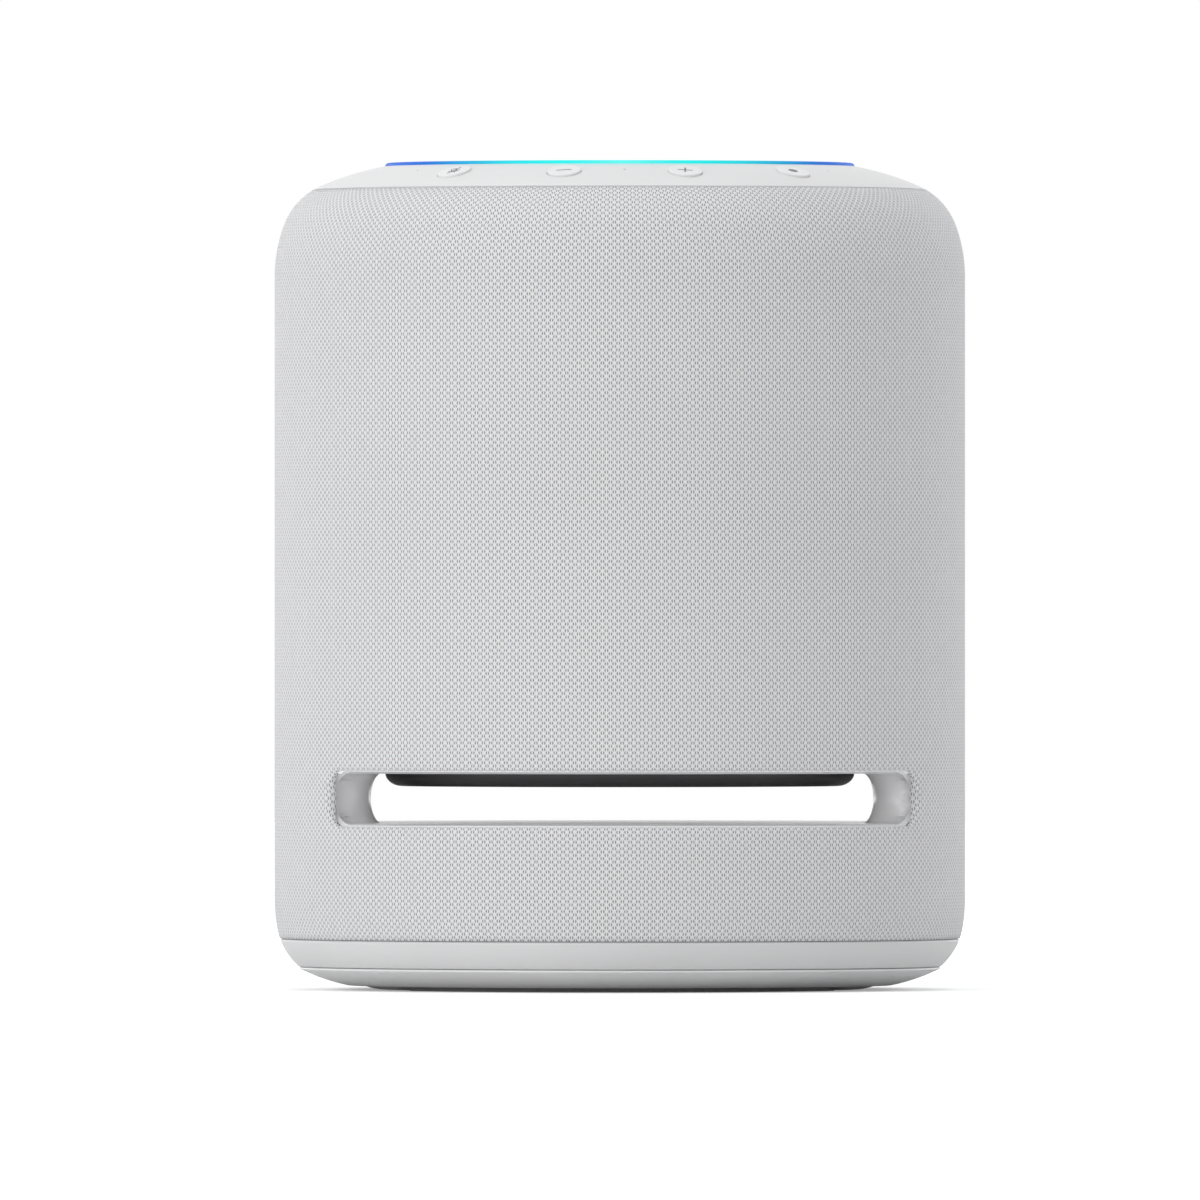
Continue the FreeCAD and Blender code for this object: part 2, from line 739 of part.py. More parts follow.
# ---- drivers, built about +Z with the front of the flange at 0 and the back at +Z ----

def basket(size):
    """Frame of a driver: flange, deep windowed wall and the ring that carries the motor."""
    wall = size.basket_wall
    rear = size.motor_depth
    inner = size.surround_radius
    plate_hole = size.coil_radius + 2 * size.gap
    shell = spin_polygon([
        (inner, 0), (size.flange_radius, 0), (size.flange_radius, size.flange),
        (inner + wall, size.flange), (inner + wall, size.shoulder), (size.motor_radius, rear - wall),
        (size.motor_radius, rear), (plate_hole, rear), (plate_hole, rear - wall),
        (size.motor_radius - 1.5 * wall, rear - wall), (inner, size.shoulder)])
    half = size.window_width / 2
    window = block(size.motor_radius - 2 * wall, size.flange_radius, -half, half,
                   size.shoulder + wall, rear - 1.5 * wall)
    half_step = 180.0 / size.window_count
    hole = disc(screw_radius + screw_clearance, -1, size.flange + 1, size.screw_circle, 0)
    return shell.cut(ringed(window, size.window_count, half_step) + ringed(hole, size.screw_count))


def motor(size):
    """Front plate, ring magnet and yoke with its pole, stacked behind the basket."""
    front = size.motor_depth
    magnet_front = front + size.front_plate
    magnet_back = magnet_front + size.magnet
    coil_outer = size.coil_radius + size.gap
    pole = size.coil_radius - 1.5 * size.gap
    plate = tube(coil_outer + size.gap, size.motor_radius, front, magnet_front)
    magnet = tube(coil_outer + 4 * size.gap, size.motor_radius, magnet_front, magnet_back)
    yoke = disc(size.motor_radius, magnet_back, magnet_back + size.back_plate)
    return [plate, magnet, yoke.fuse(disc(pole, front, magnet_back))]


def surround(size):
    """Half-roll rubber ring on the front of the flange and the cone's rim, rolled forwards or backwards."""
    outer, inner, rubber = size.surround_radius, size.cone_radius, size.rubber
    middle = (outer + inner) / 2
    half = (outer - inner) / 2 - 0.2
    shown, hidden = (0.0, -rubber) if size.roll > 0 else (-rubber, 0.0)
    rise = size.roll * half
    first, last = inner - surround_lip, outer + surround_lip
    within = half - rubber
    return spin([
        edge_line((first, hidden), (first, shown)), edge_line((first, shown), (middle - half, shown)),
        edge_arc((middle - half, shown), (middle, shown + rise), (middle + half, shown)),
        edge_line((middle + half, shown), (last, shown)), edge_line((last, shown), (last, hidden)),
        edge_line((last, hidden), (middle + within, hidden)),
        edge_arc((middle + within, hidden), (middle, hidden + rise), (middle - within, hidden)),
        edge_line((middle - within, hidden), (first, hidden))])


def domed_shell(radius, base, apex, wall):
    """Thin dome with its rim at height base and its crown at height apex."""
    side = 0.55 * radius
    side_z = apex + 0.3 * (base - apex)
    return spin([
        edge_arc((radius, base), (side, side_z), (0, apex)), edge_line((0, apex), (0, apex + wall)),
        edge_arc((0, apex + wall), (side, side_z + wall), (radius, base + wall)),
        edge_line((radius, base + wall), (radius, base))])


def cone(size):
    """Cone with a flat rim, open at its neck, and a domed dust cap."""
    rim, neck, depth, paper = size.cone_radius, size.coil_radius, size.cone_depth, cone_paper
    bend = rim - surround_lip - part_gap
    paper_cone = spin_polygon([(rim, 0), (rim, paper), (bend, paper), (neck, depth + paper),
                               (neck, depth), (bend, 0)])
    dust_radius = neck + 2.0
    dust_z = depth * (bend - dust_radius) / (bend - neck)
    return paper_cone.fuse(domed_shell(dust_radius, dust_z, dust_z - dust_radius / 4, paper))


def voice_coil(size):
    """Thin former with its winding in the gap of the motor."""
    start = size.cone_depth
    low = size.motor_depth - size.front_plate / 2
    high = size.motor_depth + 1.5 * size.front_plate
    radius, wall = size.coil_radius, 0.3
    return spin_polygon([(radius - wall, start), (radius, start), (radius, low),
                         (radius + size.gap, low), (radius + size.gap, high), (radius - wall, high)])


def spider(size):
    """Corrugated ring that centres the coil, between the former and a ledge of the basket."""
    inner = size.coil_radius + part_gap
    z = size.motor_depth - size.basket_wall - spider_clearance
    foot_radius = size.motor_radius - 1.5 * size.basket_wall
    crest = z + spider_wave + spider_cloth
    reach = (crest - size.shoulder) / (size.motor_depth - size.basket_wall - size.shoulder)
    outer = size.surround_radius - reach * (size.surround_radius - foot_radius) - part_gap
    steps = 2 * spider_waves
    top = [(inner + (outer - inner) * k / steps, z + (spider_wave if k % 2 else 0.0))
           for k in range(steps + 1)]
    return spin_polygon(top + [(r, height + spider_cloth) for r, height in reversed(top)])


def gasket(size_flange, hole, screw_circle, screw_count, z):
    """Foam ring under a driver's flange, from z to one gasket thickness further back."""
    ring = tube(hole, size_flange, z, z + gasket_thickness)
    return ring.cut(ringed(disc(screw_radius + screw_clearance, z - 1, z + 2, screw_circle, 0), screw_count))


def flange_screws(front, depth, circle, count):
    """Screws with their heads at the front face and their tips at depth."""
    screw = disc(screw_head_radius, front - screw_head, front, circle, 0)
    screw = screw.fuse(disc(screw_radius, front - screw_head, depth, circle, 0))
    return ringed(screw, count)


def tweeter_faceplate():
    """Round plate with a shallow horn about the dome."""
    mouth = tweeter_throat_radius + tweeter_face
    plate = spin_polygon([(mouth, 0), (tweeter_face_radius, 0), (tweeter_face_radius, tweeter_face),
                          (tweeter_throat_radius, tweeter_face), (tweeter_throat_radius, tweeter_face / 2)])
    hole = disc(screw_radius + screw_clearance, -1, tweeter_face + 1, tweeter_screw_circle, 0)
    return plate.cut(ringed(hole, tweeter_screw_count, 90.0))


def tweeter_motor():
    """Magnet system of the tweeter, seated behind its faceplate."""
    front = tweeter_face
    coil = tweeter_dome_radius
    plate = tube(coil + 1.0, tweeter_motor_radius, front, front + 2.5)
    magnet = tube(coil + 2.0, tweeter_motor_radius, front + 2.5, front + 10.5)
    yoke = disc(tweeter_motor_radius, front + 10.5, front + 13.5)
    return [plate, magnet, yoke.fuse(disc(coil - 1.2, front + 1.0, front + 10.5))]


def tweeter_dome():
    """Domed diaphragm on its coil former, with a flat suspension that reaches the faceplate."""
    radius, base = tweeter_dome_radius, tweeter_face / 2
    dome = domed_shell(radius, base, base - tweeter_dome_rise, tweeter_wall)
    former = tube(radius - tweeter_wall, radius, base, tweeter_face + 4)
    suspension = tube(radius - tweeter_wall, tweeter_throat_radius - dome_clearance, base,
                      base + tweeter_wall)
    return dome.fuse([former, suspension])


def placed(shapes, place):
    """Moves shapes built about a driver's own axis to one of the five places in the case."""
    moved = []
    for shape in shapes:
        copy = shape.copy()
        if place == "woofer":
            copy.translate(FreeCAD.Vector(0, 0, baffle_top + gasket_thickness))
        elif place == "top":
            copy.rotate(ORIGIN, X_AXIS, 180.0)
            copy.translate(FreeCAD.Vector(0, 0, box_top + gasket_thickness + mid.flange))
        elif place == "left":
            copy.rotate(ORIGIN, Y_AXIS, 90.0)
            copy.translate(FreeCAD.Vector(-mid_front, 0, side_driver_z))
        elif place == "right":
            copy.rotate(ORIGIN, Y_AXIS, -90.0)
            copy.translate(FreeCAD.Vector(mid_front, 0, side_driver_z))
        else:
            copy.rotate(ORIGIN, X_AXIS, -90.0)
            copy.translate(FreeCAD.Vector(0, -tweeter_front, side_driver_z))
        moved.append(copy)
    return moved


mid_seat = body_radius - mid_seat_margin
mid_front = mid_seat + gasket_thickness + mid.flange
tweeter_seat = body_radius - tweeter_seat_margin
tweeter_front = tweeter_seat + gasket_thickness + tweeter_face


# ---- inner box ----

def enclosure_body():
    """Sealed upturned cup that holds the drivers, with flat pads at the sides and the front."""
    cup = disc(box_radius, baffle_top, box_top)
    cup = cup.cut(disc(box_inner_radius, baffle_top - 1, box_top - box_wall))
    z = side_driver_z
    beyond = body_radius + 5
    inside = pad_depth
    pads = [rod_x(pad_radius, 0, z, -mid_seat, -mid_seat + inside),
            rod_x(pad_radius, 0, z, mid_seat - inside, mid_seat),
            rod_y(tweeter_pad_radius, 0, z, -tweeter_seat, -tweeter_seat + inside)]
    outside = [rod_x(pad_radius, 0, z, -beyond, -mid_seat), rod_x(pad_radius, 0, z, mid_seat, beyond),
               rod_y(tweeter_pad_radius, 0, z, -beyond, -tweeter_seat)]
    deep = 2 * inside
    hollows = [rod_x(pad_radius - box_wall, 0, z, mid_seat - deep, mid_seat - box_wall),
               rod_x(pad_radius - box_wall, 0, z, -mid_seat + box_wall, -mid_seat + deep),
               rod_y(tweeter_pad_radius - box_wall, 0, z, -tweeter_seat + box_wall, -tweeter_seat + deep)]
    holes = [rod_x(mid_hole_radius, 0, z, -beyond, -mid_seat + deep),
             rod_x(mid_hole_radius, 0, z, mid_seat - deep, beyond),
             rod_y(tweeter_hole_radius, 0, z, -beyond, -tweeter_seat + deep),
             disc(mid_hole_radius, box_top - box_wall - 1, box_top + 1),
             disc(grommet_radius, box_top - box_wall - 1, box_top + 1, *trunk_exit())]
    bite = mid.flange + gasket_thickness + screw_bite + 0.2
    mid_pilots = ringed(disc(screw_radius + pilot_clearance, mid.flange, bite, mid.screw_circle, 0),
                        mid.screw_count)
    tweeter_pilots = ringed(disc(screw_radius + pilot_clearance, tweeter_face, bite + 0.5,
                                 tweeter_screw_circle, 0), tweeter_screw_count, 90.0)
    pilots = placed(tweeter_pilots, "tweeter")
    for place in ("left", "right", "top"):
        pilots += placed(mid_pilots, place)
    post = disc(box_post_radius, box_top, board_bottom, body_radius - box_post_margin, 0)
    cup = cup.fuse(pads).cut(outside).cut(hollows)
    return cup.fuse(ringed(post, 4, 45.0)).cut(holes + pilots)


# ---- boards and ports ----

def base_board(y0, y1, z):
    """Board in the base, trimmed to the round case."""
    plate = block(-base_board_half_width, base_board_half_width, y0, y1, z, z + board_thickness)
    return plate.common(disc(base_board_radius, z, z + board_thickness))


def main_board_parts():
    """Shield can, memory, radio module, amplifier chips and connector of the main board."""
    z = main_board_z + board_thickness
    return [block(-15, 15, -52, -26, z, z + 3.0), block(20, 32, -40, -30, z, z + 1.2),
            block(-34, -22, -58, -42, z, z + 2.2), block(18, 27, -56, -47, z, z + 1.4),
            block(-34, -24, -24, -16, z, z + 5.5)]


def power_parts():
    """Transformer, two capacitors, choke and finned heat sink of the power board."""
    z = power_board_top
    core = block(-32, -8, 8, 30, z, z + 17.0)
    capacitors = [disc(6.5, z, z + 16.0, x, 18) for x in (4.0, 20.0)]
    choke = tube(3.0, 7.0, z, z + 8.0, 14, 38)
    sink = block(-34, -10, 34, 37, z, z + 16.0)
    fins = [block(-34, -10, y, y + 1, z + 4, z + 16.0) for y in (39.0, 42.0, 45.0)]
    web = block(-24, -20, 37, 46, z + 6, z + 9)
    return [core] + capacitors + [choke, sink.fuse(fins + [web])]


def port_panel():
    """Tray that closes the rear opening, flush with the cloth, with holes for the sockets."""
    inset = port_gap
    outer = rounded_slab_y(port_width - 2 * inset, port_height - 2 * inset, port_corner - inset, 0.0,
                           port_z, port_floor_y - port_wall, body_radius + 5)
    outer = outer.common(disc(body_radius, 0, body_height))
    shrink = inset + port_wall
    inner = rounded_slab_y(port_width - 2 * shrink, port_height - 2 * shrink, port_corner - shrink, 0.0,
                           port_z, port_floor_y, body_radius + 5)
    back = port_floor_y - port_wall - 1
    half_x, half_z = inlet_width / 2 + part_gap, inlet_height / 2 + part_gap
    service_x_half, service_z_half = service_width / 2 + part_gap, service_height / 2 + part_gap
    holes = [block(inlet_x - half_x, inlet_x + half_x, back, port_floor_y + 1,
                   port_z - half_z, port_z + half_z),
             rod_y(jack_nose_radius + part_gap, jack_x, port_z, back, port_floor_y + 1),
             block(service_x - service_x_half, service_x + service_x_half, back, port_floor_y + 1,
                   port_z - service_z_half, port_z + service_z_half)]
    return outer.cut([inner] + holes)


def power_inlet():
    """Two-pin mains inlet on the power board, open to the rear."""
    mouth = port_floor_y + inlet_rise
    body = block(inlet_x - inlet_width / 2, inlet_x + inlet_width / 2, mouth - inlet_length, mouth,
                 port_z - inlet_height / 2, port_z + inlet_height / 2)
    floor = mouth - inlet_depth
    socket = [rod_y(inlet_lobe_radius, inlet_x + side * inlet_lobe_offset, port_z, floor, mouth + 1)
              for side in (-1, 1)]
    socket.append(block(inlet_x - inlet_lobe_offset, inlet_x + inlet_lobe_offset, floor, mouth + 1,
                        port_z - inlet_waist / 2, port_z + inlet_waist / 2))
    pins = [rod_y(pin_radius, inlet_x + side * pin_pitch / 2, port_z, floor - 1, floor + pin_length)
            for side in (-1, 1)]
    return body.cut(socket).fuse(pins)


def audio_jack():
    """Round audio socket on the power board, with a nose in the port panel."""
    mouth = port_floor_y
    low = power_board_top
    body = block(jack_x - jack_width / 2, jack_x + jack_width / 2, mouth - port_wall - part_gap - jack_depth,
                 mouth - port_wall - part_gap, low, low + jack_height)
    nose = rod_y(jack_nose_radius, jack_x, port_z, mouth - port_wall - 1, mouth)
    return body.fuse(nose).cut(rod_y(jack_radius, jack_x, port_z, mouth - jack_depth, mouth + 1))


def service_port():
    """Small metal service socket on a plastic foot that stands on the power board."""
    mouth = port_floor_y
    half_x, half_z = service_width / 2, service_height / 2
    shell = block(service_x - half_x, service_x + half_x, mouth - service_length, mouth,
                  port_z - half_z, port_z + half_z)
    hollow = block(service_x - half_x + service_wall, service_x + half_x - service_wall,
                   mouth - service_length + 1, mouth + 1, port_z - half_z + service_wall,
                   port_z + half_z - service_wall)
    foot_y = mouth - port_wall - part_gap
    foot = block(service_x - half_x, service_x + half_x, mouth - service_length, foot_y,
                 power_board_top, port_z - half_z)
    return shell.fuse(foot).cut(hollow)


# ---- wiring ----

def trunk_exit():
    """Place where the wires leave the top of the inner box."""
    return -40.0, 46.0


def wire(points, radius):
    """Round wire along straight runs joined by tangent arcs."""
    corners = [FreeCAD.Vector(*point) for point in points]
    edges = []
    start = corners[0]
    for before, corner, after in zip(corners, corners[1:], corners[2:]):
        arrive = (corner - before).normalize()
        leave = (after - corner).normalize()
        turn = arrive.getAngle(leave)
        setback = min(wire_bend * math.tan(turn / 2), 0.45 * (corner - before).Length,
                      0.45 * (after - corner).Length)
        bend = setback / math.tan(turn / 2)
        first = corner - arrive * setback
        last = corner + leave * setback
        inward = (leave - arrive).normalize()
        middle = corner + inward * (bend / math.cos(turn / 2) - bend)
        edges.append(Part.LineSegment(start, first).toShape())
        edges.append(Part.Arc(first, middle, last).toShape())
        start = last
    edges.append(Part.LineSegment(start, corners[-1]).toShape())
    path = Part.Wire(edges)
    direction = (corners[1] - corners[0]).normalize()
    section = Part.Wire(Part.makeCircle(radius, corners[0], direction))
    return path.makePipeShell([section], True, False)


def wire_harness():
    """Trunk from the main board to the control board, and a lead to the motor of each driver."""
    exit_x, exit_y = trunk_exit()
    box_foot = baffle_top
    board_z = main_board_z + board_thickness + 5.5
    trunk = [(-29, -20, board_z), (-29, -20, 27), (-48, 4, 32), (duct_x, duct_y, 34),
             (duct_x, duct_y, box_foot + 8), (-58, 42, box_foot + 28), (-58, 42, box_top - 22),
             (exit_x, exit_y, box_top - 10), (exit_x, exit_y, board_bottom)]
    z = side_driver_z
    mid_back = mid_front - mid.motor_depth - mid.front_plate - mid.magnet / 2
    top_back = box_top + gasket_thickness + mid.flange - mid.motor_depth - mid.front_plate - mid.magnet / 2
    woofer_back = box_foot + gasket_thickness + woofer.motor_depth + woofer.front_plate + woofer.magnet / 2
    reach = mid.motor_radius + wire_end_gap
    tweeter_back = -tweeter_front + tweeter_face + 6.0
    leads = [
        [(-55.5, 42, woofer_back + 4), (-44, 34, woofer_back + 2),
         (-woofer.motor_radius * 0.78 - 1, woofer.motor_radius * 0.66 + 1, woofer_back)],
        [(-55.5, 42, z - 6), (-51, 34, z - 3), (-mid_back, reach, z)],
        [(-55.5, 42, z + 8), (-10, 50, z + 4), (40, 40, z), (mid_back, reach, z)],
        [(-55.5, 42, box_top - 32), (-30, 34, top_back), (0, reach, top_back)],
        [(-55.5, 42, z - 14), (-50, 20, z - 22), (-46, -18, z - 22), (-24, -44, z - 20),
         (-4, tweeter_back, z - tweeter_motor_radius - wire_end_gap)]]
    return [wire(trunk, trunk_radius)] + [wire(points, lead_radius) for points in leads]


# ---- writing the nodes ----

def save_case():
    """Shells, covers, slot and base."""
    space = slot_space()
    save("fabric_sleeve", [fabric_sleeve()])
    save("upper_grille_frame", [upper_grille_frame()])
    save("lower_grille_frame", [lower_grille_frame()])
    save("slot_liner", [slot_liner(space)])
    save("woofer_baffle", [woofer_baffle(space)])
    save("woofer_cover", [woofer_cover()])
    save("base_ring", [base_ring()])
    save("base_plate", [base_plate()])
    save("foot_pads", foot_pads())
    save("case_screws", case_screws())
    save("enclosure_body", [enclosure_body()])


def save_top():
    """Cap, light ring, grille, control board and buttons."""
    save("top_cap", [top_cap()])
    save("light_ring", [light_ring()])
    save("top_grille", [top_grille()])
    save("top_grille_cloth", [top_grille_cloth()])
    save("top_board", [top_board()])
    save("ring_leds", ring_leds())
    save("microphones", microphones())
    save("button_switches", button_switches())
    names = ["mic_off", "volume_down", "volume_up", "action"]
    for name, azimuth in zip(names, button_azimuths()):
        radius = body_radius - button_margin
        save(name + "_button", [on_crown(button_cap(), radius, azimuth)])
        save(name + "_plunger", [on_crown(button_plunger(), radius, azimuth)])


def save_drivers():
    """Woofer, three mid drivers, tweeter, gaskets and screws."""
    save("woofer_basket", placed([basket(woofer)], "woofer"))
    save("woofer_motor", placed(motor(woofer), "woofer"))
    save("woofer_surround", placed([surround(woofer)], "woofer"))
    save("woofer_spider", placed([spider(woofer)], "woofer"))
    save("woofer_cone", placed([cone(woofer)], "woofer"))
    save("woofer_voice_coil", placed([voice_coil(woofer)], "woofer"))
    gaskets = placed([gasket(woofer.flange_radius, woofer.surround_radius + surround_lip + part_gap,
                             woofer.screw_circle,
                             woofer.screw_count, -gasket_thickness)], "woofer")
    rear_screws = []
    for screw in flange_screws(0.0, woofer.flange + gasket_thickness + screw_bite,
                               woofer.screw_circle, woofer.screw_count):
        screw.rotate(ORIGIN, X_AXIS, 180.0)
        screw.translate(FreeCAD.Vector(0, 0, woofer.flange))
        rear_screws.append(screw)
    screws = placed(rear_screws, "woofer")
    mid_cone = cone(mid).fuse(voice_coil(mid))
    for place in ("left", "right", "top"):
        save(place + "_mid_basket", placed([basket(mid)], place))
        save(place + "_mid_motor", placed(motor(mid), place))
        save(place + "_mid_surround", placed([surround(mid)], place))
        save(place + "_mid_cone", placed([mid_cone], place))
        gaskets += placed([gasket(mid.flange_radius, mid_hole_radius, mid.screw_circle,
                                  mid.screw_count, mid.flange)], place)
        screws += placed(flange_screws(0.0, mid.flange + gasket_thickness + screw_bite,
                                       mid.screw_circle, mid.screw_count), place)
    save("tweeter_faceplate", placed([tweeter_faceplate()], "tweeter"))
    save("tweeter_motor", placed(tweeter_motor(), "tweeter"))
    save("tweeter_dome", placed([tweeter_dome()], "tweeter"))
    turned_gasket = turned(gasket(tweeter_face_radius, tweeter_hole_radius, tweeter_screw_circle,
                                  tweeter_screw_count, tweeter_face), 90.0)
    gaskets += placed([turned_gasket], "tweeter")
    tweeter_screws = flange_screws(0.0, tweeter_face + gasket_thickness + screw_bite,
                                   tweeter_screw_circle, tweeter_screw_count)
    screws += placed([turned(screw, 90.0) for screw in tweeter_screws], "tweeter")
    save("driver_gaskets", gaskets)
    save("driver_screws", screws)


def save_electronics():
    """Boards in the base, rear ports and wiring."""
    save("main_board", [base_board(-64.0, -12.0, main_board_z)])
    save("main_board_parts", main_board_parts())
    save("power_board", [base_board(-6.0, port_floor_y - port_wall - 2.0, power_board_z)])
    save("power_parts", power_parts())
    save("port_panel", [port_panel()])
    save("power_inlet", [power_inlet()])
    save("audio_jack", [audio_jack()])
    save("service_port", [service_port()])
    save("wire_harness", wire_harness())


os.makedirs("parts", exist_ok=True)
save_case()
save_top()
save_drivers()
save_electronics()
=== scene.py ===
"""Smart speaker: knitted cover, top cap with ring light and buttons, open slot, base and ports.

Metres, +Z up, the front faces -Y. The case is a solid of revolution whose outline is a straight side
with a chain of tangent arcs above and below it. An azimuth is counted from the front towards +X.
"""
import json
import math

import bmesh
import bpy
import numpy as np
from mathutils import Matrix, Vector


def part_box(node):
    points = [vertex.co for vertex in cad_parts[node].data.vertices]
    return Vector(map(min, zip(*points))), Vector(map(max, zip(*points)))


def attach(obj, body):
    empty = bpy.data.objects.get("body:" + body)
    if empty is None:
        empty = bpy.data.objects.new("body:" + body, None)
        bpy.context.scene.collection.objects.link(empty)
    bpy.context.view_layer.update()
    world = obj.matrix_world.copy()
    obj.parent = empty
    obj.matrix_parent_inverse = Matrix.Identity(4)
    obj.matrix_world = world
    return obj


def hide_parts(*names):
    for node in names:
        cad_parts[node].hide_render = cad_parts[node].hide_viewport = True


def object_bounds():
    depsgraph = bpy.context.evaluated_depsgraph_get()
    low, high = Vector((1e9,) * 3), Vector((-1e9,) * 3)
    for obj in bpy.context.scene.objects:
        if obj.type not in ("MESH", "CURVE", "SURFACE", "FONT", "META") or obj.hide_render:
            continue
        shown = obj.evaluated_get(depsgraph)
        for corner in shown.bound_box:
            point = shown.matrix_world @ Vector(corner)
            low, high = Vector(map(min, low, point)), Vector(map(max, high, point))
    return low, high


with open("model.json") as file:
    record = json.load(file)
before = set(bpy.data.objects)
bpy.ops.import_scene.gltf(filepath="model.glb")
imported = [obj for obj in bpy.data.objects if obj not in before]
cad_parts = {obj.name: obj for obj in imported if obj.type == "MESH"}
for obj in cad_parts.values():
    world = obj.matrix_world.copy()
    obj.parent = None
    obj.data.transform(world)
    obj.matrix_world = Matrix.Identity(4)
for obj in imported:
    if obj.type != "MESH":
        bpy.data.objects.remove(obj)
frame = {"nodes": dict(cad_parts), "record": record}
nodes = frame["nodes"]
cad_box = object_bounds()

# ---- sizes ----
CASE_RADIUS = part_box("fabric_sleeve")[1].x
CASE_TOP = cad_box[1].z
SHOULDER_DROP = 0.02819
HEEL_HEIGHT = 0.02208
UPPER_ARCS = ((0.03639, 20.64), (0.01709, 66.37), (0.07273, 82.0))
LOWER_ARCS = ((0.03777, 10.58), (0.016305, 52.67))
CAP_SEAM = 59.4
CAP_EDGE = 60.5
BASE_SEAM = -19.08
RING_EDGE = -20.3
RING_FOOT = -49.4

CLOTH = 0.0009
WEAVE_WIDTH = 2 * math.pi * CASE_RADIUS / 277
WEAVE_HEIGHT = 0.00163
CAP_WALL = 0.0024
RING_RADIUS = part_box("light_ring")[1].x
RING_WIDTH = 0.0016
BUTTON_CIRCLE = CASE_RADIUS - 0.01885
BUTTON_RADIUS = 0.0042
BUTTON_RISE = 0.0005
BUTTON_STEP = 360.0 / 14
MIC_CIRCLE = CASE_RADIUS - 0.02095
MIC_RADIUS = 0.00042

SLOT_FLOOR = 0.0417
SLOT_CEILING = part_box("woofer_baffle")[0].z
SLOT_MIDDLE = (SLOT_FLOOR + SLOT_CEILING) / 2
SLOT_BULGE = 0.0029
LIP_FLARE = 0.0007
MOUTH_HALF = CASE_RADIUS - 0.01465
MOUTH_BULGE = 0.004
CLOTH_ROLL_END = 0.003
CLOTH_ROLL_LIP = 0.0011
FRONT_THROAT_INSET = 0.0091
REAR_THROAT_INSET = 0.0066
FLARE_LENGTH = 0.009
THROAT_TAPER_LENGTH = 0.07
DECK_DEPTH = 0.0018
COLUMN_DEPTH = 0.0038

PORT_HALF_WIDTH = 0.030
PORT_HALF_HEIGHT = 0.0105
PORT_CORNER = 0.004
PORT_HEIGHT = 0.026


# ---- shader expressions ----

class Value:
    """A shader socket; arithmetic written on it adds Math nodes."""

    def __init__(self, finish, socket):
        self.finish = finish
        self.socket = socket

    def math(self, operation, *others):
        inputs = {index + 1: other for index, other in enumerate(others)}
        return self.finish.add("ShaderNodeMath", {"operation": operation}, {0: self, **inputs})

    def __add__(self, other):
        return self.math("ADD", other)

    __radd__ = __add__

    def __mul__(self, other):
        return self.math("MULTIPLY", other)

    __rmul__ = __mul__

    def __sub__(self, other):
        return self.math("SUBTRACT", other)

    def __rsub__(self, other):
        return self.finish.add("ShaderNodeMath", {"operation": "SUBTRACT"}, {0: other, 1: self})

    def __truediv__(self, other):
        return self.math("DIVIDE", other)

    def __neg__(self):
        return self * -1.0

    def fract(self):
        return self.math("FRACT")

    def abs(self):
        return self.math("ABSOLUTE")

    def sin(self):
        return self.math("SINE")

    def min(self, other):
        return self.math("MINIMUM", other)

    def max(self, other):
        return self.math("MAXIMUM", other)

    def step(self, low, high):
        """Smooth step from 0 at low to 1 at high; low may be above high for a falling step."""
        return self.finish.add("ShaderNodeMapRange", {"interpolation_type": "SMOOTHSTEP"},
                               {0: self, 1: low, 2: high, 3: 0.0, 4: 1.0})


class Finish:
    """One material and its node tree."""

    def __init__(self, name):
        self.material = bpy.data.materials.new(name)
        self.material.use_nodes = True
        self.tree = self.material.node_tree
        self.tree.nodes.clear()

    def add(self, kind, settings=None, sockets=None, output=0):
        """Adds a node: its type, its settings, then the values or links of its sockets."""
        node = self.tree.nodes.new(kind)
        for name, value in (settings or {}).items():
            setattr(node, name, value)
        for key, value in (sockets or {}).items():
            if isinstance(value, Value):
                self.tree.links.new(value.socket, node.inputs[key])
            else:
                node.inputs[key].default_value = value
        return Value(self, node.outputs[output])

    def place(self):
        """Object coordinates in metres."""
        return self.add("ShaderNodeTexCoord", output=3)

    def uv(self):
        """The piece's own UV map."""
        return self.add("ShaderNodeTexCoord", output=2)

    def parts(self, vector):
        """The three numbers of a vector."""
        x = self.add("ShaderNodeSeparateXYZ", None, {0: vector})
        outputs = x.socket.node.outputs
        return x, Value(self, outputs[1]), Value(self, outputs[2])

    def noise(self, vector, scale, detail=2.0, roughness=0.5):
        """Soft noise of a number of cells per metre."""
        return self.add("ShaderNodeTexNoise", None,
                        {"Vector": vector, "Scale": scale, "Detail": detail, "Roughness": roughness})

    def mix(self, factor, first, second):
        """Colour between two colours."""
        return self.add("ShaderNodeMix", {"data_type": "RGBA"}, {0: factor, 6: first, 7: second}, 2)

    def bump(self, height, strength, distance):
        """Normal of a height in 0..1 that stands distance metres tall."""
        return self.add("ShaderNodeBump", None,
                        {"Strength": strength, "Distance": distance, "Height": height})

    def close(self, sockets):
        """Ends the tree in a principled shader with these sockets."""
        shader = self.add("ShaderNodeBsdfPrincipled", None, sockets)
        return self.end(shader)

    def end(self, shader):
        """Links a shader to the material's output."""
        output = self.tree.nodes.new("ShaderNodeOutputMaterial")
        self.tree.links.new(shader.socket, output.inputs["Surface"])
        return self.material


def grey(level, tint=(1.0, 1.0, 1.0)):
    """Colour of one level with a slight tint."""
    return (level * tint[0], level * tint[1], level * tint[2], 1.0)


# ---- finishes ----

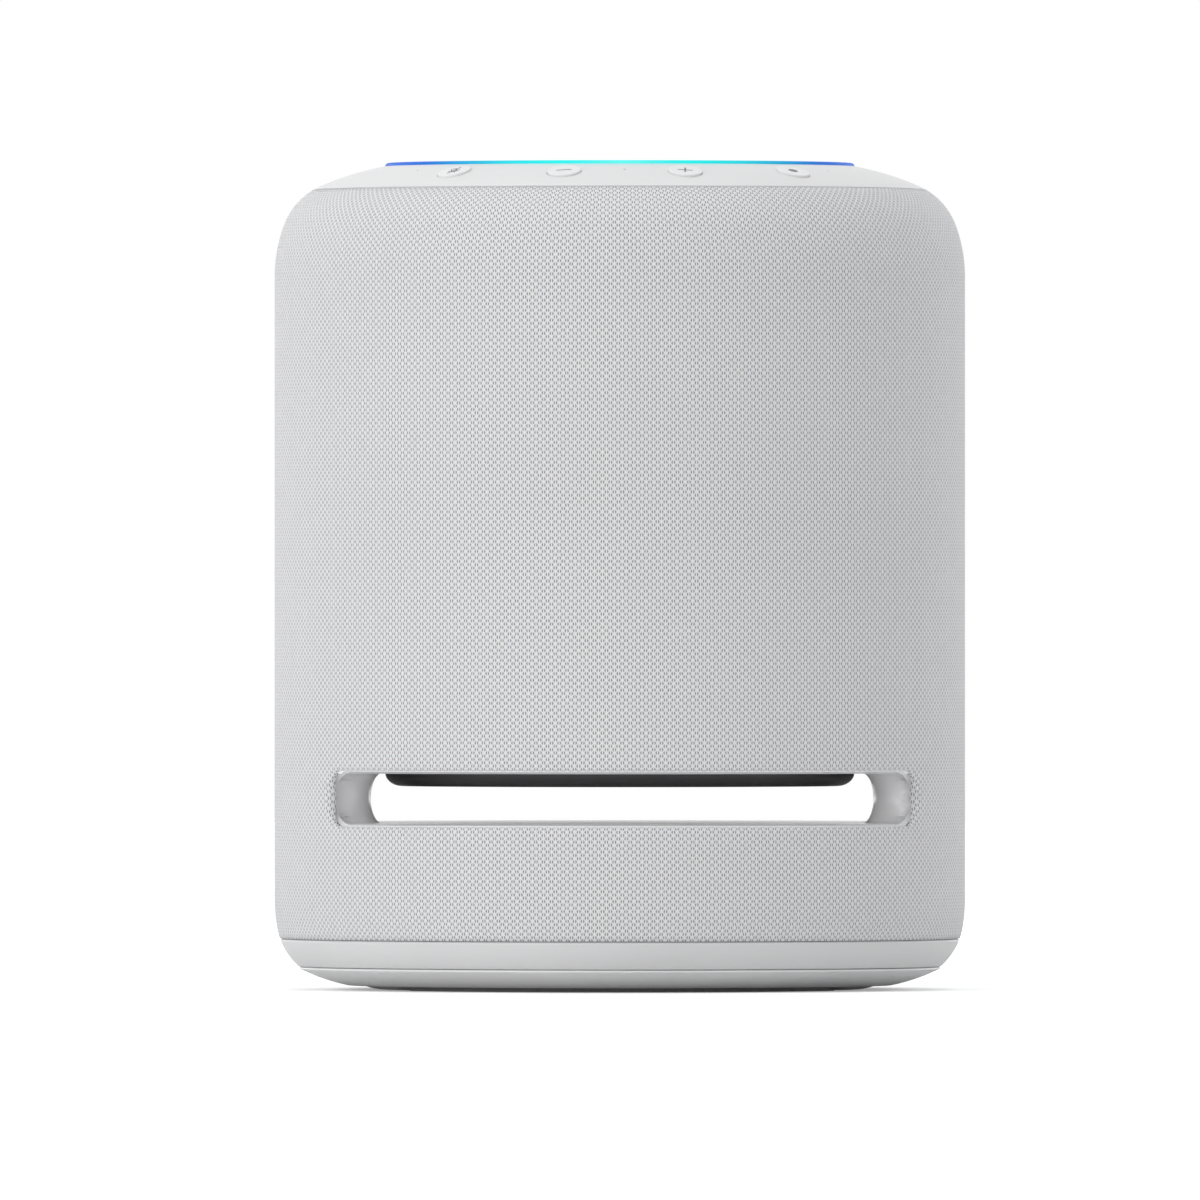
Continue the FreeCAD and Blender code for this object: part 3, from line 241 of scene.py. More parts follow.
def knit_finish():
    """Knit: broad white yarns cross in a diamond net, and two upright holes open inside each diamond.

    UV runs along the cover in metres. With p and q counted in cells, the yarns cross where p + q and
    p - q are both whole. Inside a diamond, across and up run from its middle; the holes are the two
    ellipses ((|across| - 0.15) / 0.075)^2 + (up / 0.29)^2 < 1, with an upright strand between them.
    The colour carries painted light: the diamond hollows get painted shade, the holes a darker painted
    shade for the shaded inside seen through them, and the raised knots a painted highlight.
    """
    knit = Finish("knitted_cover")
    place = knit.place()
    u, v, _ = knit.parts(knit.uv())
    q = v / WEAVE_HEIGHT
    p = u / WEAVE_WIDTH + (knit.noise(place, 300.0, 2.0) - 0.5) * 0.22
    rising = (p + q).fract() - 0.5
    falling = (p - q).fract() - 0.5
    across = (rising + falling) * 0.5
    up = (rising - falling) * 0.5
    side = (across.abs() - 0.150) / 0.075
    tall = up / 0.29
    open_share = side * side + tall * tall
    # The holes are real; the dark grey they get below is painted shade for the shaded inside seen through
    # them.
    hole = open_share.step(1.35, 0.25)
    knot = (rising.abs().min(falling.abs())).step(0.28, 0.47)
    net = rising.abs().max(falling.abs()).step(0.20, 0.46)
    fibre = knit.noise(place, 4200.0, 3.0, 0.7)
    uneven = knit.noise(place, 420.0, 1.0)
    patch = knit.noise(place, 30.0, 2.0)
    # Painted shade: the hollows inside the diamonds, away from the net, are painted darker than the yarn.
    base = knit.mix(net, grey(0.55, (0.99, 0.985, 1.015)), grey(0.79))
    # Painted highlight on the raised knots.
    base = knit.mix(knot * 0.35, base, grey(0.88))
    base = knit.mix(across.abs().step(0.09, 0.03) * (1 - net), base, grey(0.80))
    # Painted shade in the holes, for the shaded inside seen through them.
    base = knit.mix(hole * (0.58 + uneven * 0.4), base, grey(0.20, (0.99, 0.96, 1.06)))
    base = knit.mix((fibre - 0.5).abs() * 0.30, base, grey(0.45))
    base = knit.mix(patch.step(0.35, 0.75) * 0.06, base, grey(0.60))
    height = net * 0.45 + knot * 0.40 - hole * 0.55 + fibre * 0.14
    return knit.close({"Base Color": base, "Roughness": 0.86 + fibre * 0.10,
                       "Normal": knit.bump(height, 0.7, 0.00030),
                       "Sheen Weight": 0.30, "Sheen Roughness": 0.45, "Specular IOR Level": 0.25})


def moulded_finish(name, level, tint=(1.0, 1.0, 1.0), roughness=0.46, grain=0.00002):
    """Fine-spark moulded plastic: even colour with faint flow marks, and a fine grain in the relief."""
    plastic = Finish(name)
    place = plastic.place()
    spark = plastic.noise(place, 5200.0, 2.0, 0.6)
    flow = plastic.noise(place, 24.0, 3.0)
    rub = plastic.noise(place, 140.0, 4.0, 0.65)
    base = plastic.mix(flow.step(0.3, 0.7), grey(level, tint), grey(level * 0.965, tint))
    base = plastic.mix(rub.step(0.62, 0.80) * 0.25, base, grey(level * 0.93, tint))
    return plastic.close({"Base Color": base, "Roughness": roughness + spark * 0.10 + rub * 0.06,
                          "Normal": plastic.bump(spark, 0.35, grain)})


def ring_light_finish():
    """Clear ring lit from below: cyan at the front, going to blue round the sides."""
    glow = Finish("ring_light")
    x, y, _ = glow.parts(glow.place())
    azimuth = glow.add("ShaderNodeMath", {"operation": "ARCTAN2"}, {0: x, 1: -y})
    side = azimuth.abs() * (180.0 / math.pi)
    lamps = (azimuth * (24 / 2)).sin().abs() * 0.06
    speck = glow.noise(glow.place(), 900.0, 2.0)
    colour = glow.mix(side.step(14.0, 62.0), (0.020, 0.86, 0.82, 1.0), (0.012, 0.145, 0.66, 1.0))
    colour = glow.mix(side.step(60.0, 120.0), colour, (0.012, 0.075, 0.52, 1.0))
    colour = glow.mix(side.step(16.0, 0.0) * 0.35, colour, (0.30, 1.0, 0.96, 1.0))
    lit = glow.mix(lamps + speck * 0.05, colour, (0.0, 0.04, 0.16, 1.0))
    return glow.close({"Base Color": glow.mix(0.5, colour, grey(0.02)), "Emission Color": lit,
                       "Emission Strength": 0.56, "Roughness": 0.50 + speck * 0.08,
                       "Specular IOR Level": 0.08})


def cap_finish():
    """Satin cap plastic with the faint spill of the ring light round its inner edge."""
    cap = Finish("cap_plastic")
    place = cap.place()
    x, y, _ = cap.parts(place)
    radius = (x * x + y * y).math("SQRT")
    azimuth = cap.add("ShaderNodeMath", {"operation": "ARCTAN2"}, {0: x, 1: -y}).abs() * (180.0 / math.pi)
    spill = radius.step(RING_RADIUS + 0.0045, RING_RADIUS) * azimuth.step(36.0, 6.0)
    spark = cap.noise(place, 5200.0, 2.0, 0.6)
    flow = cap.noise(place, 24.0, 3.0)
    base = cap.mix(flow.step(0.3, 0.7), grey(0.71), grey(0.69))
    base = cap.mix(spill * 0.55, base, (0.30, 0.76, 0.76, 1.0))
    return cap.close({"Base Color": base, "Roughness": 0.44 + spark * 0.10,
                      "Normal": cap.bump(spark, 0.35, 0.00002)})


def rubber_finish():
    """Foot rubber: dark grey and matt, with dust in its pores; painted light lifts its grey for the shade
    under the plate.
    """
    rubber = Finish("foot_rubber")
    place = rubber.place()
    pore = rubber.noise(place, 2600.0, 3.0, 0.7)
    dust = rubber.noise(place, 90.0, 4.0, 0.6)
    # grey(0.46) to grey(0.52) is lifted above dark rubber as painted light for the shaded gap under the
    # plate; the dust is random tone.
    base = rubber.mix(dust.step(0.45, 0.75) * 0.5, grey(0.46), grey(0.52))
    return rubber.close({"Base Color": base, "Roughness": 0.82 + pore * 0.1,
                         "Normal": rubber.bump(pore, 0.5, 0.00005)})


def board_finish():
    """Green solder mask with fine tracks: a grid of thin lines, broken by noise."""
    board = Finish("circuit_board")
    place = board.place()
    x, y, _ = board.parts(place)
    cells = board.noise(place, 160.0, 0.0)
    line_x = ((x * 520.0).fract() - 0.5).abs().step(0.10, 0.05)
    line_y = ((y * 520.0).fract() - 0.5).abs().step(0.10, 0.05)
    turn = cells.step(0.49, 0.51)
    track = line_x * turn + line_y * (1 - turn)
    base = board.mix(track, (0.012, 0.10, 0.045, 1.0), (0.03, 0.20, 0.09, 1.0))
    return board.close({"Base Color": base, "Roughness": 0.34 + cells * 0.12, "Coat Weight": 0.3,
                        "Normal": board.bump(track, 0.4, 0.00004)})


def metal_finish(name, colour, roughness, metallic=1.0):
    """Plated or painted metal with fine brushed scratches: noise stretched along one way."""
    metal = Finish(name)
    stretched = metal.add("ShaderNodeMapping", None, {0: metal.place(), "Scale": (1.0, 14.0, 14.0)})
    scratch = metal.noise(stretched, 320.0, 4.0, 0.7)
    stain = metal.noise(metal.place(), 60.0, 3.0)
    worn = tuple(channel * 0.72 for channel in colour[:3]) + (1.0,)
    base = metal.mix(stain.step(0.45, 0.8) * 0.6, colour, worn)
    return metal.close({"Base Color": base, "Metallic": metallic, "Roughness": roughness + scratch * 0.18,
                        "Normal": metal.bump(scratch, 0.3, 0.00002)})


def paper_finish(name, colour, roughness):
    """Pressed fibre, coil wire or silk: fine threads in the relief and a mottled colour."""
    paper = Finish(name)
    fibre = paper.noise(paper.place(), 1800.0, 4.0, 0.75)
    blot = paper.noise(paper.place(), 120.0, 2.0)
    light = tuple(min(1.0, channel * 1.35) for channel in colour[:3]) + (1.0,)
    base = paper.mix(fibre.step(0.4, 0.8) * 0.6, colour, light)
    return paper.close({"Base Color": base, "Roughness": roughness + blot * 0.12,
                        "Normal": paper.bump(fibre, 0.5, 0.00006)})


FINISHES = {
    "cloth": knit_finish(),
    "cap_plastic": cap_finish(),
    "case_plastic": moulded_finish("case_plastic", 0.68),
    # Lighter copy of the case plastic: painted light for the plate's underside, which faces the floor and
    # gets little light.
    "plate_plastic": moulded_finish("plate_plastic", 0.81),
    # Lifted near white: painted light for the shade inside the slot.
    "slot_plastic": moulded_finish("slot_plastic", 0.92, (1.0, 0.995, 1.0), 0.12, 0.000001),
    "button_plastic": moulded_finish("button_plastic", 0.77, roughness=0.4),
    "button_print": moulded_finish("button_print", 0.16, (0.98, 0.99, 1.03), 0.5),
    "inner_plastic": moulded_finish("inner_plastic", 0.50),
    "dark_plastic": moulded_finish("dark_plastic", 0.055, (1.0, 1.0, 1.04), 0.38),
    "foot_rubber": rubber_finish(),
    "ring_plastic": ring_light_finish(),
    "board": board_finish(),
    "component": moulded_finish("component", 0.05, roughness=0.4),
    "lamp": moulded_finish("lamp", 0.75, (1.0, 1.0, 0.82), 0.3),
    "magnet_steel": metal_finish("magnet_steel", (0.42, 0.42, 0.43, 1.0), 0.34),
    "basket_steel": metal_finish("basket_steel", (0.035, 0.035, 0.038, 1.0), 0.45, 0.0),
    "paper_cone": paper_finish("paper_cone", (0.035, 0.035, 0.036, 1.0), 0.75),
    "surround_rubber": paper_finish("surround_rubber", (0.022, 0.022, 0.022, 1.0), 0.6),
    "coil": paper_finish("coil_wire", (0.48, 0.19, 0.07, 1.0), 0.35),
    "dome": paper_finish("dome_silk", (0.05, 0.05, 0.055, 1.0), 0.5),
    "foam": paper_finish("gasket_foam", (0.04, 0.04, 0.042, 1.0), 0.9),
    "screw_steel": metal_finish("screw_steel", (0.55, 0.55, 0.56, 1.0), 0.28),
    "contact": metal_finish("contact_plating", (0.66, 0.64, 0.58, 1.0), 0.24),
    "wire_jacket": moulded_finish("wire_jacket", 0.03, roughness=0.55),
}


def dress_frame():
    """Every carried-over CAD node gets the finish of its slot, except the woofer baffle, which gets the slot
    plastic.
    """
    for entry in frame["record"]["subparts"]:
        data = nodes[entry["node"]].data
        data.materials.clear()
        # The woofer baffle, the slot's ceiling, takes the lightened slot plastic: painted light for the shade
        # in the slot.
        finish = "slot_plastic" if entry["node"] == "woofer_baffle" else entry["material_slot"]
        data.materials.append(FINISHES[finish])


# ---- meshes ----

def build(name, points, faces, finish, body, replaces=(), uv=None, smooth=True, merge=True):
    """Makes a piece of points and faces, gives it its finish and sets it on its body."""
    mesh = bpy.data.meshes.new(name)
    mesh.from_pydata(np.asarray(points).reshape(-1, 3).tolist(), [], [list(face) for face in faces])
    if uv is not None:
        layer = mesh.uv_layers.new(name="along_surface")
        corner = np.empty(len(mesh.loops), np.int32)
        mesh.loops.foreach_get("vertex_index", corner)
        layer.uv.foreach_set("vector", np.asarray(uv, np.float32).reshape(-1, 2)[corner].ravel())
    mesh.polygons.foreach_set("use_smooth", np.full(len(mesh.polygons), smooth))
    piece = bpy.data.objects.new(name, mesh)
    bpy.context.scene.collection.objects.link(piece)
    mesh.materials.append(FINISHES[finish])
    if merge:
        close_seams(piece)
    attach(piece, body)
    if replaces:
        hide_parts(*replaces)
    return piece


def close_seams(piece):
    """Merges the doubles along seams and poles."""
    work = bmesh.new()
    work.from_mesh(piece.data)
    bmesh.ops.remove_doubles(work, verts=work.verts, dist=2e-6)
    work.to_mesh(piece.data)
    work.free()


def grid_faces(rows, columns, first=0, flip=False):
    """Quads of a rows x columns grid of vertices that starts at index first."""
    corner = first + np.arange((rows - 1) * columns).reshape(rows - 1, columns)[:, :-1]
    faces = np.stack([corner, corner + 1, corner + columns + 1, corner + columns], -1).reshape(-1, 4)
    return faces[:, ::-1] if flip else faces


def thicken(piece, thickness, edge=0.0002, rounds=2):
    """Gives a sheet its wall on the inner side, and rounds its cut edges."""
    wall = piece.modifiers.new("wall", "SOLIDIFY")
    wall.thickness = thickness
    wall.offset = -1.0
    if edge:
        round_off = piece.modifiers.new("round_off", "BEVEL")
        round_off.width = edge
        round_off.segments = rounds
        round_off.limit_method = "ANGLE"
        round_off.angle_limit = math.radians(50.0)
    shade_by_angle(piece)


def shade_by_angle(piece):
    """Keeps creases sharp where faces meet at more than 40 degrees."""
    piece.data.set_sharp_from_angle(angle=math.radians(40.0))


# ---- outline of the case ----

def outline_table(samples=60):
    """Height, radius, normal angle and distance along the outline, from the foot upwards.

    Each arc's centre lies on the last normal of the arc before it, so the chain has no corner.
    """
    def chain(arcs, start, turn):
        centre_r, centre_z, last = CASE_RADIUS - arcs[0][0], start, 0.0
        pieces = []
        for index, (radius, end) in enumerate(arcs):
            angle = np.radians(np.linspace(last, end, samples))
            pieces.append(np.stack([centre_r + radius * np.cos(angle),
                                    centre_z + turn * radius * np.sin(angle),
                                    turn * np.degrees(angle)]))
            if index + 1 < len(arcs):
                shift = radius - arcs[index + 1][0]
                centre_r += shift * math.cos(math.radians(end))
                centre_z += turn * shift * math.sin(math.radians(end))
            last = end
        return np.concatenate(pieces, 1)
    lower = chain(LOWER_ARCS, HEEL_HEIGHT, -1)[:, ::-1]
    upper = chain(UPPER_ARCS, CASE_TOP - SHOULDER_DROP, 1)
    table = np.concatenate([lower, upper], 1)
    steps = np.hypot(np.diff(table[0]), np.diff(table[1]))
    return table[0], table[1], table[2], np.concatenate([[0.0], np.cumsum(steps)])


RADII, HEIGHTS, ANGLES, ALONG = outline_table()


def along_at_angle(angle):
    """Distance along the outline where its normal rises by angle degrees."""
    return float(np.interp(angle, ANGLES, ALONG))


def along_at_height(height):
    """Distance along the outline at a height."""
    return np.interp(height, HEIGHTS, ALONG)


def along_at_radius(radius):
    """Distance along the outline where the top comes in to a radius."""
    top = ANGLES > 1.0
    return float(np.interp(-radius, -RADII[top], ALONG[top]))


def skin(azimuth, along, inset=0.0):
    """Points of the case: radius and height at a distance along the outline, turned by the azimuth."""
    tilt = np.radians(np.interp(along, ALONG, ANGLES))
    radius = np.interp(along, ALONG, RADII) - inset * np.cos(tilt)
    height = np.interp(along, ALONG, HEIGHTS) - inset * np.sin(tilt)
    return np.stack([radius * np.sin(azimuth), -radius * np.cos(azimuth),
                     height + 0.0 * azimuth], -1)


def pierced(azimuths, alongs, holes, rings=3):
    """Azimuth, distance and faces of a grid with holes.

    The block of cells round each hole is left out; rings of vertices lead from the block's edge to the
    hole's rim, each ring a straight blend of the two. A hole is (azimuth, along, rim, half room in
    azimuth, half room along), where rim(angle) is the hole's radius in metres towards an angle and the
    two half rooms say how far the block reaches each way.
    """
    columns, rows = len(azimuths), len(alongs)
    turn, run = [np.tile(azimuths, (rows, 1)).ravel()], [np.repeat(alongs, columns)]
    keep = np.ones((rows - 1, columns - 1), bool)
    extra = []
    count = rows * columns
    for centre_turn, centre_run, rim, reach_turn, reach_run in holes:
        i0 = int(np.searchsorted(azimuths, centre_turn - reach_turn)) - 1
        i1 = int(np.searchsorted(azimuths, centre_turn + reach_turn))
        j0 = int(np.searchsorted(alongs, centre_run - reach_run)) - 1
        j1 = int(np.searchsorted(alongs, centre_run + reach_run))
        keep[j0:j1, i0:i1] = False
        across, up = np.arange(i0, i1), np.arange(j0, j1)
        loop = np.concatenate([j0 * columns + across, up * columns + i1,
                               j1 * columns + across[::-1] + 1, (up[::-1] + 1) * columns + i0])
        scale = np.interp(centre_run, ALONG, RADII)
        edge_u = (turn[0][loop] - centre_turn) * scale
        edge_v = run[0][loop] - centre_run
        angle = np.arctan2(edge_v, edge_u)
        reach = rim(angle)
        rim_u, rim_v = reach * np.cos(angle), reach * np.sin(angle)
        blend = (np.arange(1, rings + 1) / rings)[:, None]
        turn.append((centre_turn + (edge_u * (1 - blend) + rim_u * blend) / scale).ravel())
        run.append((centre_run + edge_v * (1 - blend) + rim_v * blend).ravel())
        size = len(loop)
        ladder = np.concatenate([loop[None], count + np.arange(rings * size).reshape(rings, size)])
        near, far = ladder[:-1], ladder[1:]
        extra.append(np.stack([near, np.roll(near, -1, 1), np.roll(far, -1, 1), far], -1).reshape(-1, 4))
        count += rings * size
    faces = grid_faces(rows, columns).reshape(rows - 1, columns - 1, 4)[keep]
    return np.concatenate(turn), np.concatenate(run), np.concatenate([faces] + extra)


def rounded_box_rim(half_width, half_height, corner):
    """Radius of a rounded rectangle towards an angle, from a dense walk round its edge."""
    quarter = np.radians(np.linspace(0.0, 90.0, 24))
    u = np.concatenate([half_width - corner + corner * np.cos(quarter + turn) if side > 0 else
                        -half_width + corner + corner * np.cos(quarter + turn)
                        for side, turn in ((1, 0.0), (-1, math.pi / 2), (-1, math.pi), (1, 1.5 * math.pi))])
    v = np.concatenate([side * (half_height - corner) + corner * np.sin(quarter + turn)
                        for side, turn in ((1, 0.0), (1, math.pi / 2), (-1, math.pi), (-1, 1.5 * math.pi))])
    walk = np.stack([u, v])
    dense = np.concatenate([np.linspace(walk[:, k], walk[:, (k + 1) % walk.shape[1]], 12, False)
                            for k in range(walk.shape[1])])
    angle = np.arctan2(dense[:, 1], dense[:, 0])
    order = np.argsort(angle)
    return lambda towards: np.interp(towards, angle[order], np.hypot(*dense[order].T),
                                     period=2 * math.pi)


# ---- knitted cover ----

def slot_edge_azimuth(height, half_width, bulge, half_height):
    """Azimuth of the slot's rounded end at a height: a half ellipse outside a flat part."""
    level = np.clip((height - SLOT_MIDDLE) / half_height, -1.0, 1.0)
    return np.arcsin((half_width - bulge + bulge * np.sqrt(1 - level ** 2)) / CASE_RADIUS)


def knitted_cover():
    """Cover over both frames: two bands, two columns between the ends of the slot, and a rolled hem.

    The bands and the columns share their vertices along the slot. The hem carries a quarter circle
    inwards round the slot's edge: a step d = a sin f towards the slot, a depth a (1 - cos f).
    """
    half_width = MOUTH_HALF + CLOTH_ROLL_END
    half_height = (SLOT_CEILING - SLOT_FLOOR) / 2 + LIP_FLARE + CLOTH_ROLL_LIP
    low, high = SLOT_MIDDLE - half_height, SLOT_MIDDLE + half_height
    flat = math.asin((half_width - MOUTH_BULGE) / CASE_RADIUS)
    front = np.linspace(-flat, flat, 111)
    right = np.linspace(flat, math.pi - flat, 71)
    half_right = len(right) // 2
    azimuths = np.concatenate([right[half_right:] - math.pi, front[1:], right[1:], front[1:] + math.pi,
                               right[1:half_right + 1] + math.pi])
    start, end = along_at_angle(BASE_SEAM), along_at_angle(CAP_SEAM)
    lower = np.linspace(start, along_at_height(low), 20)
    upper = np.linspace(along_at_height(high), end, 84)
    port = (math.pi, float(along_at_height(PORT_HEIGHT)),
            rounded_box_rim(PORT_HALF_WIDTH, PORT_HALF_HEIGHT, PORT_CORNER),
            (PORT_HALF_WIDTH + 0.0012) / CASE_RADIUS, PORT_HALF_HEIGHT + 0.0008)
    turn, run, faces = pierced(azimuths, lower, [port], 4)
    turns, runs, sheets = [turn, np.tile(azimuths, (len(upper), 1)).ravel()], \
        [run, np.repeat(upper, len(azimuths))], [faces, grid_faces(len(upper), len(azimuths), len(turn))]
    count = len(turn) + len(upper) * len(azimuths)
    level = -np.cos(np.linspace(0.0, math.pi, 19))
    heights = SLOT_MIDDLE + half_height * level
    edge = slot_edge_azimuth(heights, half_width, MOUTH_BULGE, half_height)
    share = np.linspace(0.0, 1.0, len(right))
    for side in (0.0, math.pi):
        column = edge[:, None] + (math.pi - 2 * edge[:, None]) * share + side
        turns.append(column.ravel())
        runs.append(np.repeat(along_at_height(heights), len(share)))
        sheets.append(grid_faces(len(heights), len(share), count))
        count += column.size
    turn, run = np.concatenate(turns), np.concatenate(runs)
    points = skin(turn, run)
    uv = np.stack([turn * CASE_RADIUS, run], -1)
    for side in (0.0, math.pi):
        hem_points, hem_uv, hem_faces = rolled_hem(front, heights, edge, side, count)
        points = np.concatenate([points, hem_points])
        uv = np.concatenate([uv, hem_uv])
        sheets.append(hem_faces)
        count += len(hem_points)
    cover = build("knitted_cover", points, np.concatenate(sheets), "cloth", "housing",
                  ["fabric_sleeve"], uv)
    thicken(cover, CLOTH, 0.0)
    return cover


def rolled_hem(front, heights, edge, side, first):
    """Hem of one slot mouth: its points, UV and faces."""
    turn = np.concatenate([front, edge[1:], front[::-1][1:], -edge[::-1][1:]]) + side
    height = np.concatenate([np.full(len(front), heights[0]), heights[1:],
                             np.full(len(front) - 1, heights[-1]), heights[::-1][1:]])
    run = along_at_height(height)
    step_u = (np.roll(turn[:-1], -1) - np.roll(turn[:-1], 1)) * CASE_RADIUS
    step_v = np.roll(run[:-1], -1) - np.roll(run[:-1], 1)
    size = np.hypot(step_u, step_v)
    inward_u = np.append(-step_v / size, -step_v[0] / size[0])
    inward_v = np.append(step_u / size, step_u[0] / size[0])
    roll = CLOTH_ROLL_LIP + (0.8 * CLOTH_ROLL_END - CLOTH_ROLL_LIP) * np.abs(inward_u) ** 3
    bend = np.radians(np.linspace(0.0, 90.0, 8))[:, None]
    tail = np.linspace(0.0, 0.0022, 4)[1:, None]
    shift = np.concatenate([roll * np.sin(bend), np.tile(roll, (len(tail), 1))])
    depth = np.concatenate([roll * (1 - np.cos(bend)), np.tile(roll, (len(tail), 1))])
    travel = np.concatenate([roll * bend, roll * math.pi / 2 + tail])
    around = turn + inward_u * shift / CASE_RADIUS
    along = run + inward_v * shift
    points = skin(around, along)
    points[..., :2] *= (1 - depth / CASE_RADIUS)[..., None]
    points[-len(tail):, :, 1] -= np.sign(points[-len(tail):, :, 1]) * tail
    uv = np.stack([turn * CASE_RADIUS + inward_u * travel, run + inward_v * travel], -1)
    faces = grid_faces(len(depth), len(turn), first)
    return points.reshape(-1, 3), uv.reshape(-1, 2), faces


# ---- top ----

def button_azimuths():
    """Azimuths of the four buttons, left to right, in radians."""
    return np.radians(BUTTON_STEP * np.array([-1.5, -0.5, 0.5, 1.5]))


def cap_shell():
    """Ring-shaped cap: the outline between its seam and the light ring, turned about the axis."""
    azimuths = np.linspace(-math.pi, math.pi, 481)
    alongs = np.linspace(along_at_angle(CAP_EDGE), along_at_radius(RING_RADIUS + 0.0001), 44)
    button_run, mic_run = along_at_radius(BUTTON_CIRCLE), along_at_radius(MIC_CIRCLE)
    hole = BUTTON_RADIUS + 0.00012
    holes = [(turn, button_run, lambda angle: np.full_like(angle, hole),
              1.25 * hole / BUTTON_CIRCLE, 1.2 * hole) for turn in button_azimuths()]
    places = np.radians(np.arange(-3, 4) * 360.0 / 7)
    holes += [(turn, mic_run, lambda angle: np.full_like(angle, MIC_RADIUS),
               1.5 * MIC_RADIUS / MIC_CIRCLE, 1.5 * MIC_RADIUS) for turn in places]
    turn, run, faces = pierced(azimuths, alongs, holes, 4)
    cap = build("top_cap_shell", skin(turn, run), faces, "cap_plastic", "housing",
                ["top_cap"])
    thicken(cap, CAP_WALL, 0.00022, 3)
    return cap


def turned_piece(name, profile, finish, body, replaces=(), segments=240, arc=None):
    """Piece of revolution: a profile of (radius, height) points carried round the axis."""
    profile = np.asarray(profile)
    first, last = arc if arc else (-math.pi, math.pi)
    azimuth = np.linspace(first, last, segments + 1)
    radius, height = profile[:, :1], profile[:, 1:]
    points = np.stack([radius * np.sin(azimuth), -radius * np.cos(azimuth),
                       height + 0.0 * azimuth], -1)
    faces = grid_faces(len(profile), segments + 1)
    if arc:
        loop = np.arange(len(profile) - 1) * (segments + 1)
        ends = [loop.tolist(), (loop + segments)[::-1].tolist()]
        faces = faces.tolist() + ends
    return build(name, points, faces, finish, body, replaces)


def arc_points(centre, radius, start, end, count):
    """Points of a circle between two angles in degrees, in radius and height."""
    angle = np.radians(np.linspace(start, end, count))
    return np.stack([centre[0] + radius * np.cos(angle), centre[1] + radius * np.sin(angle)], -1)


def light_ring():
    """Light ring: upright walls under a rounded crown, half an ellipse across its width."""
    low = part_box("light_ring")[0].z
    inner, crown = RING_RADIUS - RING_WIDTH, 0.00075
    angle = np.linspace(0.0, math.pi, 13)
    top = np.stack([RING_RADIUS - RING_WIDTH / 2 + RING_WIDTH / 2 * np.cos(angle),
                    CASE_TOP - crown + crown * np.sin(angle)], -1)
    profile = np.concatenate([[[inner, low], [RING_RADIUS, low]], top, [[inner, low]]])
    return turned_piece("light_ring_lens", profile, "ring_plastic", "housing",
                        ["light_ring"], 360)


def recess_cloth():
    """Cloth disc inside the ring: a very shallow dome, h = rise (1 - r^2), tucked down at its rim."""
    low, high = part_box("top_grille_cloth")
    share = np.linspace(0.0, 1.0, 60)[:, None]
    azimuth = np.linspace(-math.pi, math.pi, 181)
    radius = high.x * share
    height = high.z - 0.0004 * share ** 2 - 0.0006 * np.clip((share - 0.97) / 0.03, 0, 1) ** 2
    points = np.stack([radius * np.sin(azimuth), -radius * np.cos(azimuth), height + 0 * azimuth], -1)
    uv = points[..., :2]
    faces = grid_faces(60, 181)[:, ::-1]
    return build("recess_cloth", points, faces, "cloth", "housing", ["top_grille_cloth"], uv)


def on_cap(points, azimuth):
    """Carries points built about +Z to a button's place: tilted to the cap's normal, then turned."""
    run = along_at_radius(BUTTON_CIRCLE)
    tilt = math.radians(90.0 - float(np.interp(run, ALONG, ANGLES)))
    height = float(np.interp(run, ALONG, HEIGHTS))
    x, y, z = points[..., 0], points[..., 1], points[..., 2]
    forward = y * math.cos(tilt) - z * math.sin(tilt) - BUTTON_CIRCLE
    up = y * math.sin(tilt) + z * math.cos(tilt) + height
    turn_cos, turn_sin = math.cos(azimuth), math.sin(azimuth)
    return np.stack([x * turn_cos - forward * turn_sin, x * turn_sin + forward * turn_cos, up], -1)


def button(name, azimuth):
    """Round button: dished top, d = depth (1 - r^2), rounded rim and straight side down to its flange."""
    rim, dish = 0.00024, 0.00005
    share = np.linspace(0.0, 1.0, 14)
    top = np.stack([(BUTTON_RADIUS - rim) * share, BUTTON_RISE - dish * (1 - share ** 2)], -1)
    corner = arc_points((BUTTON_RADIUS - rim, BUTTON_RISE - rim), rim, 90.0, 0.0, 7)[1:]
    skirt = np.array([[BUTTON_RADIUS, -CAP_WALL], [BUTTON_RADIUS, -0.0026], [0.0052, -0.0026],
                      [0.0052, -0.0034], [0.0, -0.0034]])
    profile = np.concatenate([top, corner, skirt])
    angle = np.linspace(0.0, 2 * math.pi, 65)
    radius, height = profile[:, :1], profile[:, 1:]
    points = np.stack([radius * np.cos(angle), radius * np.sin(angle), height + 0 * angle], -1)
    faces = grid_faces(len(profile), 65)[:, ::-1]
    return build(name + "_button_cap", on_cap(points, azimuth), faces, "button_plastic",
                 name + "_key", [name + "_button"])


def capsule(start, end, width, count=12):
    """Outline of a bar with round ends between two points."""
    start, end = np.array(start), np.array(end)
    heading = math.atan2(*(end - start)[::-1])
    turn = np.linspace(-math.pi / 2, math.pi / 2, count)
    tip = np.stack([np.cos(heading + turn), np.sin(heading + turn)], -1) * width / 2
    tail = np.stack([np.cos(heading + math.pi + turn), np.sin(heading + math.pi + turn)], -1) * width / 2
    return np.concatenate([end + tip, start + tail])


def ribbon(centre, radius, start, end, width, count=16):
    """Outline of a bent bar along an arc, from a start to an end angle in degrees."""
    angle = np.radians(np.linspace(start, end, count))
    ray = np.stack([np.cos(angle), np.sin(angle)], -1)
    return np.concatenate([centre + ray * (radius + width / 2), (centre + ray * (radius - width / 2))[::-1]])


